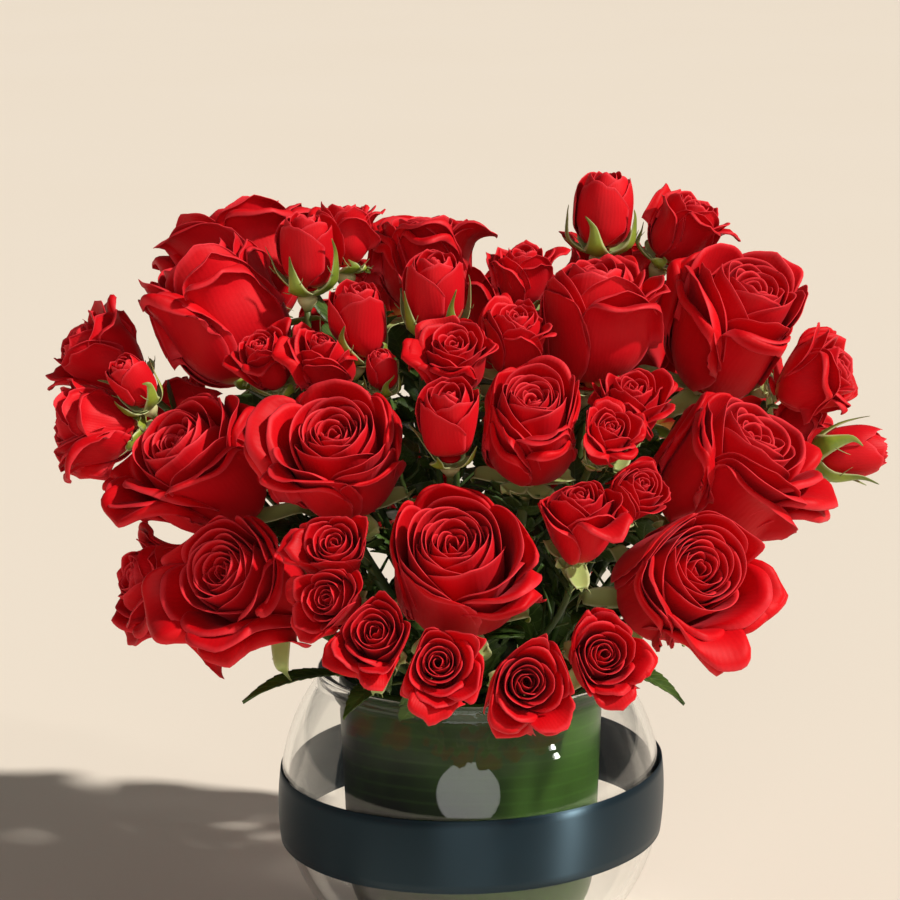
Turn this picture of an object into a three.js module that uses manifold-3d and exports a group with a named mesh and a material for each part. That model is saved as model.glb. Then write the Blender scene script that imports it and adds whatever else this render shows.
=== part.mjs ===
// Red roses in a clear fish-bowl vase. Hybrid-tea roses and spray roses stand in floral foam, which a rolled
// leaf wraps inside the bowl, and a satin ribbon runs round the glass.
// Millimetres, +Z up, the origin at the bottom centre of the bowl, the front towards -Y, +X to the right.
import * as THREE from 'three';
import { mergeVertices } from 'three/addons/utils/BufferGeometryUtils.js';
import Module from 'manifold-3d';

const wasm = await Module();
wasm.setup();

// ---- Driving dimensions of the vase ----
const BOWL_RADIUS = 100;
const BOWL_CENTRE_Z = 85;
const BOWL_WALL = 3.8;
const BOWL_FLOOR = 7;
const BOWL_RIM_Z = 149;
const LIP_RADIUS = 3.2;
const BOWL_SIDES = 26;
const BOWL_FOOT_INSET = 1.5; // the flat base stops this far inside the sphere
const LIP_OUTSET = 0.4; // the lip's middle stands this far outside the sphere
const FLOOR_INSET = 3; // the flat floor inside stops this far inside the wall

const LINER_THICKNESS = 1.2;
const LINER_STEP = 2; // the outer end stands this far out from the inner one
const LINER_SIDES = 24;
const LINER_LAP = 2; // the ends of the leaf overlap by this many sides
const LINER_START = 70; // degrees, at the back
const LINER_WAVE = 1.2; // its top edge rises and falls by this much, three times round
const LINER_SHAPE = [ // height and outer radius of the rolled leaf, from its foot to its top edge
  { z: 8.5, radius: 51 },
  { z: 30, radius: 65 },
  { z: 90, radius: 67 },
  { z: 151, radius: 69 },
];

const FOAM_GAP = 3.4; // from the liner's outer radius to the foam
const FOAM_TOP = 146;
const FOAM_DOME = 3;
const FOAM_SIDES = 18;
const HOLE_RADIUS = 7.5;
const HOLE_BOTTOM = 80;

const RIBBON_WIDTH = 38;
const RIBBON_THICKNESS = 0.6;
const RIBBON_GAP = 0.35;
const RIBBON_Z = 82;
const RIBBON_RISE = 0.032; // the band stands higher on the right by this much for each mm
const RIBBON_BARREL = 0.7; // its edges lean in by this much
const RIBBON_SIDES = 32;
const RIBBON_LAP = 1;
const RIBBON_START = 84; // degrees, at the back

// ---- Driving dimensions of the plants ----
// The wall between two blooms lies between an even split and the circle in which their spheres cross
const CROSSING_SHARE = 0.1;
const NEIGHBOUR_GAP = 0.3;
const HEAD_REACH = 1.08; // a head's reach, as a share of its half size
const NEAR = 1.15; // heads further apart than this share of their reaches leave each other alone
const FREE_SHARE = 0.75; // petals bend back from this share of the way to the wall
const PAST_SHARE = 1.4; // the same where the wall lies behind the middle of the head
const PETAL_THICKNESS = 1.3;
const SEPAL_THICKNESS = 1.2;
const STEM = { large: 2.8, small: 1.7 };
const HIP = { large: 5.5, small: 4.2 }; // the swollen hip's radius, less on a bud too small for it
const HIP_SHARE = 0.27; // the hip's largest radius, as a share of the bloom's size
const CROWN_DROP = 2.2; // the hip's top lies this far below the foot of the petals
const COLLAR_DROP = 1.8; // the hip's widest ring lies this far below its top
const SEPAL_DROP = 3.4; // the sepals spring this far below the foot of the petals
const SEPAL_CLEAR = 2.4; // and stand this far off the widest part of the bloom's underside
const SEPAL_REACH = 5; // a sepal's tip reaches this far past nine tenths of the bloom's half width
const SEPAL_ROOM = 0.3; // a sepal that its neighbours would push in by more than this share is left off
const TRUNK_RADIUS = 5.2;
const KNOT_Z = 151;
const ROOT_SPREAD = 2.6; // stems leave their bundle this far off its middle
const ROOT_RISE = 4;
const ROOT_DEPTH = 3;
const BEND_SHARE = 0.35; // a stem runs straight into its hip over this share of its length
const STALK = { foot: 1.3, tip: 1.1 };
const LEAF_ARCH = 7;
const LEAF_TROUGH = 1.8; // a leaflet's edges stand this much above its rib
const LEAF_TOOTH = { out: 1.12, in: 0.9 };

// The stems stand in five holes in the foam, and those of one hole meet at its mouth.
const BUNDLES = {
  middle: { x: 0, y: 4 },
  front: { x: 0, y: -38 },
  back: { x: 0, y: 42 },
  left: { x: -38, y: -2 },
  right: { x: 38, y: -2 },
};

// Each bloom: its name, the middle of its head, the way it faces, its half width, how far it has opened
// (0 to 1), and its stem's bundle. A bloom's place in the list sets the turn of its petals about its axis.
const ROSES = [
  ['rose_upper_left', [-125, 5, 332], [-0.5, 0.1, 0.86], 45, 0.7, 'left'],
  ['rose_far_left', [-118, 58, 348], [-0.3, 0.35, 0.85], 39.5, 0.7, 'left'],
  ['rose_left', [-132, -55, 263], [-0.45, -0.4, 0.74], 45, 0.9, 'left'],
  ['rose_left_middle', [-63, -100, 279], [-0.1, -0.58, 0.78], 41, 1, 'front'],
  ['rose_centre', [27, -102, 295], [0.05, -0.48, 0.86], 37, 0.9, 'front'],
  ['rose_upper_right', [59, -35, 335], [0.05, -0.12, 1], 36.5, 0.5, 'middle'],
  ['rose_top_right', [130, -5, 326], [0.37, -0.36, 0.84], 45, 0.8, 'right'],
  ['rose_right', [121, -68, 265], [0.54, -0.3, 0.78], 49.5, 1, 'right'],
  ['rose_lower_right', [96, -112, 226], [0.38, -0.78, 0.45], 46, 1, 'right'],
  ['rose_front', [-8, -134, 234], [-0.04, -0.68, 0.72], 44, 0.9, 'front'],
  ['rose_lower_left', [-108, -100, 220], [-0.45, -0.68, 0.5], 42, 1, 'left'],
  ['rose_edge_left', [-149, -48, 207], [-0.85, -0.3, 0.3], 28.5, 0.5, 'left'],
  ['rose_top', [-25, 28, 356], [0, 0.12, 1], 33, 0.9, 'middle'],
  ['rose_back_right', [112, 88, 282], [0.6, 0.55, 0.6], 46, 1, 'back'],
  ['rose_back', [20, 118, 290], [0.1, 0.75, 0.65], 46, 0.9, 'back'],
  ['rose_back_left', [-75, 118, 272], [-0.45, 0.7, 0.55], 45, 1, 'back'],
  ['rose_back_low', [52, 128, 208], [0.3, 0.9, 0.3], 45, 1, 'back'],
].map(bloomRow);
const SPRAYS = [
  ['bud_top_left', [-83, -8, 367], [0, -0.08, 1], 19, 0.3, 'left'],
  ['bud_upper_left', [-57, -45, 338], [0.05, -0.2, 1], 19, 0.3, 'front'],
  ['bud_top', [-19, -42, 352], [0.02, -0.2, 1], 19.5, 0.25, 'front'],
  ['spray_top_right', [26, -12, 356], [-0.05, -0.1, 1], 17.5, 0.5, 'middle'],
  ['bud_tip', [67, 12, 385], [0.1, -0.05, 1], 18.5, 0.1, 'middle'],
  ['spray_tip_right', [108, 34, 373], [0.5, -0.1, 0.85], 20, 0.4, 'right'],
  ['spray_right', [170, -8, 306], [0.87, -0.25, 0.3], 24, 0.6, 'right'],
  ['bud_right', [191, -12, 268], [0.97, -0.1, 0.1], 16, 0, 'right'],
  ['spray_far_left', [-186, 6, 310], [-0.72, -0.1, 0.6], 25, 0.5, 'left'],
  ['spray_side_left', [-187, -22, 283], [-0.93, -0.2, 0.1], 25, 0.5, 'left'],
  ['bud_centre', [-11, -114, 302], [0, -0.42, 0.9], 20, 0.3, 'front'],
  ['spray_centre', [-9, -76, 324], [0, -0.5, 0.85], 23, 0.9, 'front'],
  ['bud_small_left', [-44, -70, 320], [-0.1, -0.3, 0.95], 9, 0, 'front'],
  ['spray_front_right', [49, -126, 258], [0.05, -0.42, 0.9], 24.5, 0.6, 'front'],
  ['spray_inner_right', [75, -110, 266], [0.4, -0.5, 0.7], 17, 0.5, 'right'],
  ['spray_upper_right', [76, -72, 300], [0.1, -0.4, 0.9], 21.5, 0.6, 'right'],
  ['spray_beside_right', [62, -110, 295], [0.25, -0.6, 0.7], 15, 0.5, 'right'],
  ['spray_left_inner', [-63, -134, 245], [-0.15, -0.7, 0.62], 20.5, 0.8, 'front'],
  ['spray_left_low', [-63, -147, 227], [-0.4, -0.8, 0.3], 18.5, 0.7, 'front'],
  ['spray_low_left', [-44, -159, 211], [-0.12, -0.8, 0.5], 23, 0.8, 'front'],
  ['spray_low_middle', [-16, -163, 200], [-0.02, -0.92, 0.38], 22.5, 0.9, 'front'],
  ['spray_low_front', [24, -156, 189], [0.06, -0.94, 0.3], 24.5, 0.9, 'front'],
  ['spray_low_right', [59, -145, 198], [0.12, -0.9, 0.4], 22, 0.8, 'right'],
  ['bud_dark_left', [-169, -30, 306], [-0.4, -0.4, 0.8], 13, 0.1, 'left'],
  ['spray_between_left', [-102, -36, 318], [-0.3, -0.45, 0.85], 16, 0.4, 'left'],
  ['spray_inner_left', [-72, -54, 321], [-0.1, -0.4, 0.9], 19, 0.5, 'front'],
  ['spray_inner_top', [20, -58, 332], [0.1, -0.3, 0.95], 19.5, 0.5, 'middle'],
  ['spray_top_back', [-65, 10, 374], [-0.05, 0.1, 1], 18, 0.5, 'middle'],
  ['spray_behind_right', [167, 22, 268], [0.8, 0.25, 0.5], 23, 0.6, 'right'],
  ['spray_back_top', [72, 72, 344], [0.25, 0.45, 0.85], 24, 0.7, 'back'],
  ['spray_back_middle', [-38, 82, 336], [-0.1, 0.5, 0.85], 24, 0.8, 'back'],
  ['spray_back_side', [-150, 62, 262], [-0.75, 0.45, 0.45], 25, 0.8, 'left'],
  ['spray_back_low_left', [-28, 132, 204], [-0.15, 0.95, 0.25], 25, 0.9, 'back'],
  ['spray_back_low_right', [124, 82, 206], [0.75, 0.6, 0.25], 25, 0.8, 'right'],
].map(bloomRow);

// Each leaflet: its stem's bundle, where it springs, where it ends, and its width
const LEAVES = [
  { bundle: 'left', from: [-62, -62, 164], to: [-112, -96, 158], width: 17 },
  { bundle: 'front', from: [-40, -84, 166], to: [-62, -122, 158], width: 15 },
  { bundle: 'front', from: [-8, -80, 162], to: [-22, -112, 152], width: 15 },
  { bundle: 'front', from: [12, -80, 164], to: [34, -118, 156], width: 16 },
  { bundle: 'right', from: [66, -54, 166], to: [104, -86, 154], width: 16 },
  { bundle: 'right', from: [80, -20, 176], to: [134, -36, 168], width: 19 },
  { bundle: 'right', from: [84, 8, 200], to: [150, 4, 222], width: 19 },
  { bundle: 'left', from: [-82, 4, 178], to: [-140, 4, 170], width: 19 },
  { bundle: 'left', from: [-74, 36, 170], to: [-118, 58, 156], width: 18 },
  { bundle: 'back', from: [-24, 78, 164], to: [-52, 118, 152], width: 18 },
  { bundle: 'back', from: [28, 80, 166], to: [60, 116, 154], width: 18 },
  { bundle: 'right', from: [66, 50, 170], to: [110, 76, 158], width: 18 },
];

function bloomRow([name, at, faces, size, open, bundle]) {
  return { name, at, faces, size, open, bundle };
}

// ---- Materials ----
const GLASS = { color: 0xf2f6f5, roughness: 0.03, metalness: 0, transparent: true, opacity: 0.3 };
const LEAF_SKIN = { color: 0x24401a, roughness: 0.3, metalness: 0 };
const WET_FOAM = { color: 0x2f5a35, roughness: 0.95, metalness: 0 };
const SATIN = { color: 0x1d3440, roughness: 0.35, metalness: 0 };
const RED = { color: 0xc4141f, roughness: 0.62, metalness: 0 };
const GREEN = { color: 0x55702c, roughness: 0.6, metalness: 0 };

// ---- Small helpers ----
const radians = THREE.MathUtils.degToRad;
const mix = THREE.MathUtils.lerp;

// 0 below 0, 1 above 1, and a smooth step between them
function ease(x) {
  const s = Math.min(1, Math.max(0, x));
  return s * s * (3 - 2 * s);
}

// A repeatable draw between -1 and 1 for each pair of numbers
function draw(a, b) {
  const x = Math.sin(a * 12.9898 + b * 78.233) * 43758.5453;
  return 2 * (x - Math.floor(x)) - 1;
}

function solidOf(points, triangles) {
  const vertProperties = new Float32Array(points.flatMap((p) => [p.x, p.y, p.z]));
  const triVerts = new Uint32Array(triangles.flat());
  return new wasm.Manifold(new wasm.Mesh({ numProp: 3, vertProperties, triVerts }));
}

function solidOfGeometry(geometry) {
  const bare = geometry.clone();
  bare.deleteAttribute('normal');
  bare.deleteAttribute('uv');
  const merged = mergeVertices(bare, 1e-3);
  const vertProperties = new Float32Array(merged.attributes.position.array);
  const triVerts = new Uint32Array(merged.index.array);
  return new wasm.Manifold(new wasm.Mesh({ numProp: 3, vertProperties, triVerts }));
}

function geometryOf(solid) {
  const { numProp, vertProperties, triVerts } = solid.getMesh();
  const geometry = new THREE.BufferGeometry();
  const positions = new THREE.InterleavedBuffer(new Float32Array(vertProperties), numProp);
  const flat = new Float32Array(positions.count * 3);
  for (let i = 0; i < positions.count; i += 1) {
    flat.set(positions.array.subarray(i * numProp, i * numProp + 3), i * 3);
  }
  geometry.setAttribute('position', new THREE.BufferAttribute(flat, 3));
  geometry.setIndex(new THREE.BufferAttribute(new Uint32Array(triVerts), 1));
  geometry.computeVertexNormals();
  return geometry;
}

// Fuses solids into one body: a hollow that this seals is filled, and a loose scrap is dropped
function join(solids) {
  const fused = solids.reduce((whole, piece) => whole.add(piece));
  return fused.decompose().reduce((most, body) => (body.volume() > most.volume() ? body : most));
}

// A thin closed blade from the grid of its middle surface, grid[row][column]: the two faces share the
// rim and stand half a thickness off the middle surface inside it. Rows whose points coincide become one.
function bladeSolid(grid, thickness) {
  const rows = grid.length;
  const columns = grid[0].length;
  const points = [];
  const front = [];
  const back = [];
  for (let i = 0; i < rows; i += 1) {
    front.push([]);
    back.push([]);
    const single = grid[i][0].distanceTo(grid[i][columns - 1]) < 1e-6;
    for (let j = 0; j < columns; j += 1) {
      if (single && j > 0) {
        front[i].push(front[i][0]);
        back[i].push(back[i][0]);
        continue;
      }
      const p = grid[i][j];
      const onRim = i === 0 || i === rows - 1 || j === 0 || j === columns - 1;
      if (onRim) {
        points.push(p);
        front[i].push(points.length - 1);
        back[i].push(points.length - 1);
        continue;
      }
      const along = grid[i + 1][j].clone().sub(grid[i - 1][j]);
      const across = grid[i][j + 1].clone().sub(grid[i][j - 1]);
      const normal = across.cross(along).normalize().multiplyScalar(thickness / 2);
      points.push(p.clone().add(normal));
      front[i].push(points.length - 1);
      points.push(p.clone().sub(normal));
      back[i].push(points.length - 1);
    }
  }
  const triangles = [];
  const addTriangle = (a, b, c) => {
    if (a !== b && b !== c && c !== a) triangles.push([a, b, c]);
  };
  for (let i = 0; i < rows - 1; i += 1) {
    for (let j = 0; j < columns - 1; j += 1) {
      const leftHalf = j < (columns - 1) / 2;
      for (const [side, flipped] of [[front, false], [back, true]]) {
        const corner = [side[i][j], side[i][j + 1], side[i + 1][j + 1], side[i + 1][j]];
        const split = leftHalf ? [[0, 1, 2], [0, 2, 3]] : [[0, 1, 3], [1, 2, 3]];
        for (const [a, b, c] of split) {
          if (flipped) addTriangle(corner[a], corner[c], corner[b]);
          else addTriangle(corner[a], corner[b], corner[c]);
        }
      }
    }
  }
  return solidOf(points, triangles);
}

// Where a stem or leaf stalk that goes to a place leaves its bundle
function stemRoot(bundle, place) {
  const { x, y } = BUNDLES[bundle];
  const root = new THREE.Vector3(x, y, KNOT_Z);
  const heading = place.clone().sub(root).normalize();
  root.x += ROOT_SPREAD * heading.x;
  root.y += ROOT_SPREAD * heading.y;
  root.z += ROOT_RISE * heading.z - ROOT_DEPTH;
  return root;
}

// A closed loft through rings of points. Each end is closed rung by rung from the ring's seam
function loftSolid(rings) {
  const sides = rings[0].length;
  const points = rings.flat();
  const triangles = [];
  for (let i = 0; i < rings.length - 1; i += 1) {
    for (let j = 0; j < sides; j += 1) {
      const next = (j + 1) % sides;
      const a = i * sides + j;
      const b = i * sides + next;
      triangles.push([a, b, b + sides], [a, b + sides, a + sides]);
    }
  }
  const last = (rings.length - 1) * sides;
  for (let low = 0, high = sides - 1; low < high - 1; low += 1, high -= 1) {
    triangles.push([low, high, low + 1], [last + low, last + low + 1, last + high]);
    if (high - low > 2) {
      triangles.push([low + 1, high, high - 1], [last + low + 1, last + high - 1, last + high]);
    }
  }
  return solidOf(points, triangles);
}

// ---- The vase ----
function turned(profile, sides) {
  const geometry = new THREE.LatheGeometry(profile.map(([r, z]) => new THREE.Vector2(r, z)), sides);
  return geometry.rotateX(Math.PI / 2);
}

function sphereRadiusAt(z, radius) {
  return Math.sqrt(radius * radius - (z - BOWL_CENTRE_Z) ** 2);
}

function bowlSolid() {
  const profile = [[0, 0], [sphereRadiusAt(0, BOWL_RADIUS) - BOWL_FOOT_INSET, 0]];
  const outerHeights = [2, 18, 42, 70, 98, 122, BOWL_RIM_Z - LIP_RADIUS];
  for (const z of outerHeights) profile.push([sphereRadiusAt(z, BOWL_RADIUS), z]);
  const lipCentre = sphereRadiusAt(BOWL_RIM_Z, BOWL_RADIUS) + LIP_OUTSET;
  for (const angle of [-10, 70, 160]) {
    const a = radians(angle);
    profile.push([lipCentre + LIP_RADIUS * Math.cos(a), BOWL_RIM_Z + LIP_RADIUS * Math.sin(a)]);
  }
  const innerHeights = [132, 108, 82, 54, 26];
  for (const z of innerHeights) profile.push([sphereRadiusAt(z, BOWL_RADIUS - BOWL_WALL), z]);
  const floorEdge = sphereRadiusAt(BOWL_FLOOR, BOWL_RADIUS - BOWL_WALL) - FLOOR_INSET;
  profile.push([floorEdge, BOWL_FLOOR], [0, BOWL_FLOOR]);
  return solidOfGeometry(turned(profile, BOWL_SIDES));
}

// A strip rolled about the Z axis with its ends lapped: section(lapped, angle) gives the strip's outline as
// radius and height, where lapped is 0 along the strip and 1 on the stretch that lies over its start
function rolledSolid(sides, lap, startDegrees, section) {
  const rings = [];
  for (let i = 0; i <= sides + lap; i += 1) {
    const angle = radians(startDegrees + (360 * i) / sides);
    const ring = section(ease((i - sides + 2) / 2), angle);
    rings.push(ring.map(([r, z]) => new THREE.Vector3(r * Math.cos(angle), r * Math.sin(angle), z)));
  }
  return loftSolid(rings);
}

function linerSolid() {
  return rolledSolid(LINER_SIDES, LINER_LAP, LINER_START, (lapped, angle) => {
    const out = LINER_STEP * lapped;
    const wave = LINER_WAVE * Math.sin(3 * angle + 1);
    const last = LINER_SHAPE.length - 1;
    const outer = LINER_SHAPE.map(({ z, radius }, i) => [radius + out, i === last ? z + wave : z]);
    const inner = outer.map(([r, z]) => [r - LINER_THICKNESS, z]);
    return [...outer.reverse(), ...inner];
  });
}

function ribbonSolid() {
  return rolledSolid(RIBBON_SIDES, RIBBON_LAP, RIBBON_START, (lapped, angle) => {
    const out = lapped * (RIBBON_THICKNESS + RIBBON_GAP);
    const radius = BOWL_RADIUS / Math.cos(Math.PI / RIBBON_SIDES) + RIBBON_GAP + out;
    const z = RIBBON_Z + RIBBON_RISE * radius * Math.cos(angle);
    const half = RIBBON_WIDTH / 2;
    const inner = [[radius - RIBBON_BARREL, z - half], [radius, z], [radius - RIBBON_BARREL, z + half]];
    const outer = inner.map(([r, h]) => [r + RIBBON_THICKNESS, h]).reverse();
    return [...inner, ...outer];
  });
}

function foamSolid() {
  const side = LINER_SHAPE.map(({ z, radius }) => [radius - FOAM_GAP, Math.min(z + 0.5, FOAM_TOP)]);
  const [edge] = side[side.length - 1];
  const top = [[edge * 0.5, FOAM_TOP + FOAM_DOME * 0.8], [0, FOAM_TOP + FOAM_DOME]];
  const profile = [[0, side[0][1]], ...side, ...top];
  const block = solidOfGeometry(turned(profile, FOAM_SIDES));
  const depth = FOAM_TOP + FOAM_DOME + 2 - HOLE_BOTTOM;
  return Object.values(BUNDLES).reduce((foam, { x, y }) => {
    const hole = new THREE.CylinderGeometry(HOLE_RADIUS, HOLE_RADIUS, depth, 6).rotateX(Math.PI / 2);
    hole.translate(x, y, HOLE_BOTTOM + depth / 2);
    return foam.subtract(solidOfGeometry(hole));
  }, block);
}

// ---- Blooms ----
const FLARE = 78; // degrees from the axis at which a petal leaves the hip
const WHORL = { large: 5, small: 5, bud: 3 }; // outer petals, each with one edge over its neighbour's
const INNER_WHORL = 3;
const BUD_OPEN = 0.35; // a bloom less open than this is a bud

// What all petals of a bloom share, worked out from its size and how far it has opened
function bloomOf(row, index, kind) {
  const axis = new THREE.Vector3(...row.faces).normalize();
  const tall = mix(1.45, 1.0, row.open);
  const height = row.size * 1.34 * tall;
  const centre = new THREE.Vector3(...row.at);
  const base = centre.clone().addScaledVector(axis, -height * 0.5);
  const side = new THREE.Vector3(0, 0, 1).cross(axis);
  if (side.lengthSq() < 1e-4) side.set(1, 0, 0);
  side.normalize();
  const up = axis.clone().cross(side);
  const stage = kind === 'small' && row.open < BUD_OPEN ? 'bud' : kind;
  const belly = row.size * mix(0.9, 0.62, row.open);
  const hip = Math.min(HIP[kind], row.size * HIP_SHARE);
  return { ...row, index, kind, stage, axis, tall, height, centre, base, side, up, belly, hip, planes: [] };
}

// The walls that part a bloom from its neighbours
function partNeighbours(blooms) {
  const reach = (bloom) => Math.max(bloom.size, bloom.height * 0.5) * HEAD_REACH;
  for (const bloom of blooms) {
    for (const other of blooms) {
      if (other === bloom) continue;
      const between = other.centre.clone().sub(bloom.centre);
      const distance = between.length();
      if (distance > (reach(bloom) + reach(other)) * NEAR) continue;
      const even = (distance * reach(bloom)) / (reach(bloom) + reach(other));
      const crossing = (distance ** 2 + reach(bloom) ** 2 - reach(other) ** 2) / (2 * distance);
      const offset = mix(even, crossing, CROSSING_SHARE);
      bloom.planes.push({ normal: between.divideScalar(distance), offset });
    }
  }
}

// Presses a point of a bloom back from its neighbours: free most of the way, then ever more slowly
function press(point, bloom, margin) {
  for (let pass = 0; pass < 2; pass += 1) {
    for (const { normal, offset } of bloom.planes) {
      const wall = offset - margin;
      const free = wall * (wall > 0 ? FREE_SHARE : PAST_SHARE);
      const along = point.clone().sub(bloom.centre).dot(normal);
      if (along <= free) continue;
      const room = wall - free;
      const kept = free + room * (1 - Math.exp(-(along - free) / room));
      point.addScaledVector(normal, kept - along);
    }
  }
  return point;
}

// One petal of a layer: share is 1 for the outermost layer and 0 at the heart
function petalShape(bloom, share, count, number) {
  const { size, open, tall, index } = bloom;
  const vary = (kind) => draw(index * 31 + share * 17 + number, kind);
  const sector = 360 / count;
  return {
    turn: sector * number + index * 47 + share * 36 + 2 * vary(1),
    length: size * mix(1.3, 1.85, share) * tall * (1 + 0.04 * vary(2)),
    foot: mix(size * 0.07, bloom.belly, share),
    lean: -5 + share * (4 + 9 * open * share) + 2 * vary(3),
    curl: mix(-20, -16 + 70 * open, share ** 1.6) + 5 * vary(4) * open,
    reach: radians(sector / 2) * (bloom.kind === 'large' ? 1.15 : 0.97),
    over: size * 0.065,
    roll: size * 0.1 * open * share,
  };
}

// The middle line of a petal from its foot, as radius, height and direction at even steps
function petalLine(shape) {
  const steps = 24;
  const flareEnd = Math.min(0.62, Math.max(0.08, shape.foot / (0.68 * shape.length)));
  const line = [];
  let r = 0;
  let z = 0;
  for (let i = 0; i <= steps; i += 1) {
    const v = i / steps;
    const flare = (FLARE - shape.lean) * (1 - ease(v / flareEnd));
    const angle = radians(shape.lean + flare + shape.curl * ease((v - 0.66) / 0.34));
    line.push({ r, z, angle });
    r += (Math.sin(angle) * shape.length) / steps;
    z += (Math.cos(angle) * shape.length) / steps;
  }
  return line;
}

function alongLine(line, v) {
  const x = Math.min(0.9999, Math.max(0, v)) * (line.length - 1);
  const i = Math.floor(x);
  const f = x - i;
  return {
    r: mix(line[i].r, line[i + 1].r, f),
    z: mix(line[i].z, line[i + 1].z, f),
    angle: mix(line[i].angle, line[i + 1].angle, f),
  };
}

// A point of the petal's middle surface: u across from -1 to 1, v from the foot to the tip
function petalPoint(bloom, shape, line, u, v, margin) {
  const { r, z, angle } = alongLine(line, v * (1 - 0.05 * Math.abs(u) ** 2.2));
  const taper = 0.62 + 0.38 * ease((v - 0.25) / 0.35);
  const turn = shape.reach * taper * u;
  const inward = r * (1 - Math.cos(turn));
  const corner = ease((Math.abs(u) - 0.3) / 0.7) * ease((v - 0.45) / 0.55);
  const back = shape.roll * corner + shape.over * u * ease(v / 0.4);
  const x = r - (inward - back * Math.cos(turn)) * Math.cos(angle);
  const y = (r + back * Math.cos(angle)) * Math.sin(turn);
  const h = z + (inward - back) * Math.sin(angle);
  const a = radians(shape.turn);
  const point = bloom.base.clone()
    .addScaledVector(bloom.side, x * Math.cos(a) - y * Math.sin(a))
    .addScaledVector(bloom.up, x * Math.sin(a) + y * Math.cos(a))
    .addScaledVector(bloom.axis, h);
  return press(point, bloom, margin);
}

// A closed mesh in the making: vertices by number, and triangles facing out
class Body {
  constructor() {
    this.points = [];
    this.triangles = [];
  }

  vertex(point) {
    this.points.push(point);
    return this.points.length - 1;
  }

  ring(points) {
    return points.map((point) => this.vertex(point));
  }

  // The band between a lower and an upper ring, whose counts may differ
  band(lower, upper) {
    const m = lower.length;
    const n = upper.length;
    let i = 0;
    let j = 0;
    while (i < m || j < n) {
      const a = lower[i % m];
      const b = upper[j % n];
      if (j >= n || (i < m && (i + 0.5) / m <= (j + 0.5) / n)) {
        this.triangles.push([a, lower[(i + 1) % m], b]);
        i += 1;
      } else {
        this.triangles.push([a, upper[(j + 1) % n], b]);
        j += 1;
      }
    }
  }

  cap(ring, facesDown) {
    for (let j = 1; j < ring.length - 1; j += 1) {
      this.triangles.push(facesDown ? [ring[0], ring[j + 1], ring[j]] : [ring[0], ring[j], ring[j + 1]]);
    }
  }

  // A blade grown from a stretch of wall: outer and inner are the wall's lower and upper vertices, and
  // grid[row][column] is the blade's middle surface above them. Its two faces meet at the rim.
  blade(outer, inner, grid, thickness) {
    const last = grid.length - 1;
    const columns = grid[0].length - 1;
    const foot = outer.map((v, j) => this.points[v].clone().lerp(this.points[inner[j]], 0.5));
    let [lowOuter, lowInner] = [outer, inner];
    this.triangles.push([outer[0], this.points.length, inner[0]]);
    grid.forEach((row, i) => {
      const nextOuter = [];
      const nextInner = [];
      row.forEach((point, j) => {
        if (i === last || j === 0 || j === columns) {
          nextOuter.push(this.vertex(point));
          nextInner.push(nextOuter[j]);
          return;
        }
        const below = i === 0 ? foot[j] : grid[i - 1][j];
        const along = grid[i + 1][j].clone().sub(below);
        const across = row[j + 1].clone().sub(row[j - 1]);
        const normal = across.cross(along).setLength(thickness / 2);
        nextOuter.push(this.vertex(point.clone().add(normal)));
        nextInner.push(this.vertex(point.clone().sub(normal)));
      });
      for (let j = 0; j < columns; j += 1) {
        const mirrored = j < columns / 2;
        this.square(lowOuter[j], lowOuter[j + 1], nextOuter[j + 1], nextOuter[j], mirrored);
        this.square(lowInner[j + 1], lowInner[j], nextInner[j], nextInner[j + 1], !mirrored);
      }
      if (i === 0) this.triangles.push([inner[columns], nextOuter[columns], outer[columns]]);
      [lowOuter, lowInner] = [nextOuter, nextInner];
    });
  }

  square(a, b, c, d, fromFirst) {
    if (fromFirst) this.triangles.push([a, b, c], [a, c, d]);
    else this.triangles.push([a, b, d], [b, c, d]);
  }

  solid() {
    return solidOf(this.points, this.triangles);
  }
}

// A ring of a bloom's heart: a radius and a height on the bloom's axis
function heartRing(bloom, radius, height, count, turnDegrees) {
  const ring = [];
  for (let j = 0; j < count; j += 1) {
    const a = radians(turnDegrees) + (2 * Math.PI * j) / count;
    const point = bloom.base.clone()
      .addScaledVector(bloom.side, radius * Math.cos(a))
      .addScaledVector(bloom.up, radius * Math.sin(a))
      .addScaledVector(bloom.axis, height);
    ring.push(press(point, bloom, NEIGHBOUR_GAP / 2));
  }
  return ring;
}

// A layer of petals round a heart, grown from the wall between two rings. The rings come back, for the
// surfaces that close the heart below and above the layer.
function growLayer(body, bloom, { share, count, columns, heights, wall }) {
  const start = petalShape(bloom, share, count, 0).turn - 180 / count;
  const rings = wall.map(([radius, height]) =>
    body.ring(heartRing(bloom, radius, height, count * columns, start)));
  const margin = (PETAL_THICKNESS + NEIGHBOUR_GAP) / 2;
  for (let k = 0; k < count; k += 1) {
    const shape = petalShape(bloom, share, count, k);
    const line = petalLine(shape);
    const grid = heights.map((v) => Array.from({ length: columns + 1 }, (_, j) =>
      petalPoint(bloom, shape, line, (2 * j) / columns - 1, v, margin)));
    const [outer, inner] = rings.map((ring) =>
      Array.from({ length: columns + 1 }, (_, j) => ring[(k * columns + j) % ring.length]));
    body.blade(outer, inner, grid, PETAL_THICKNESS);
  }
  return { lower: rings[0], upper: rings[1], start };
}

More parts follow.
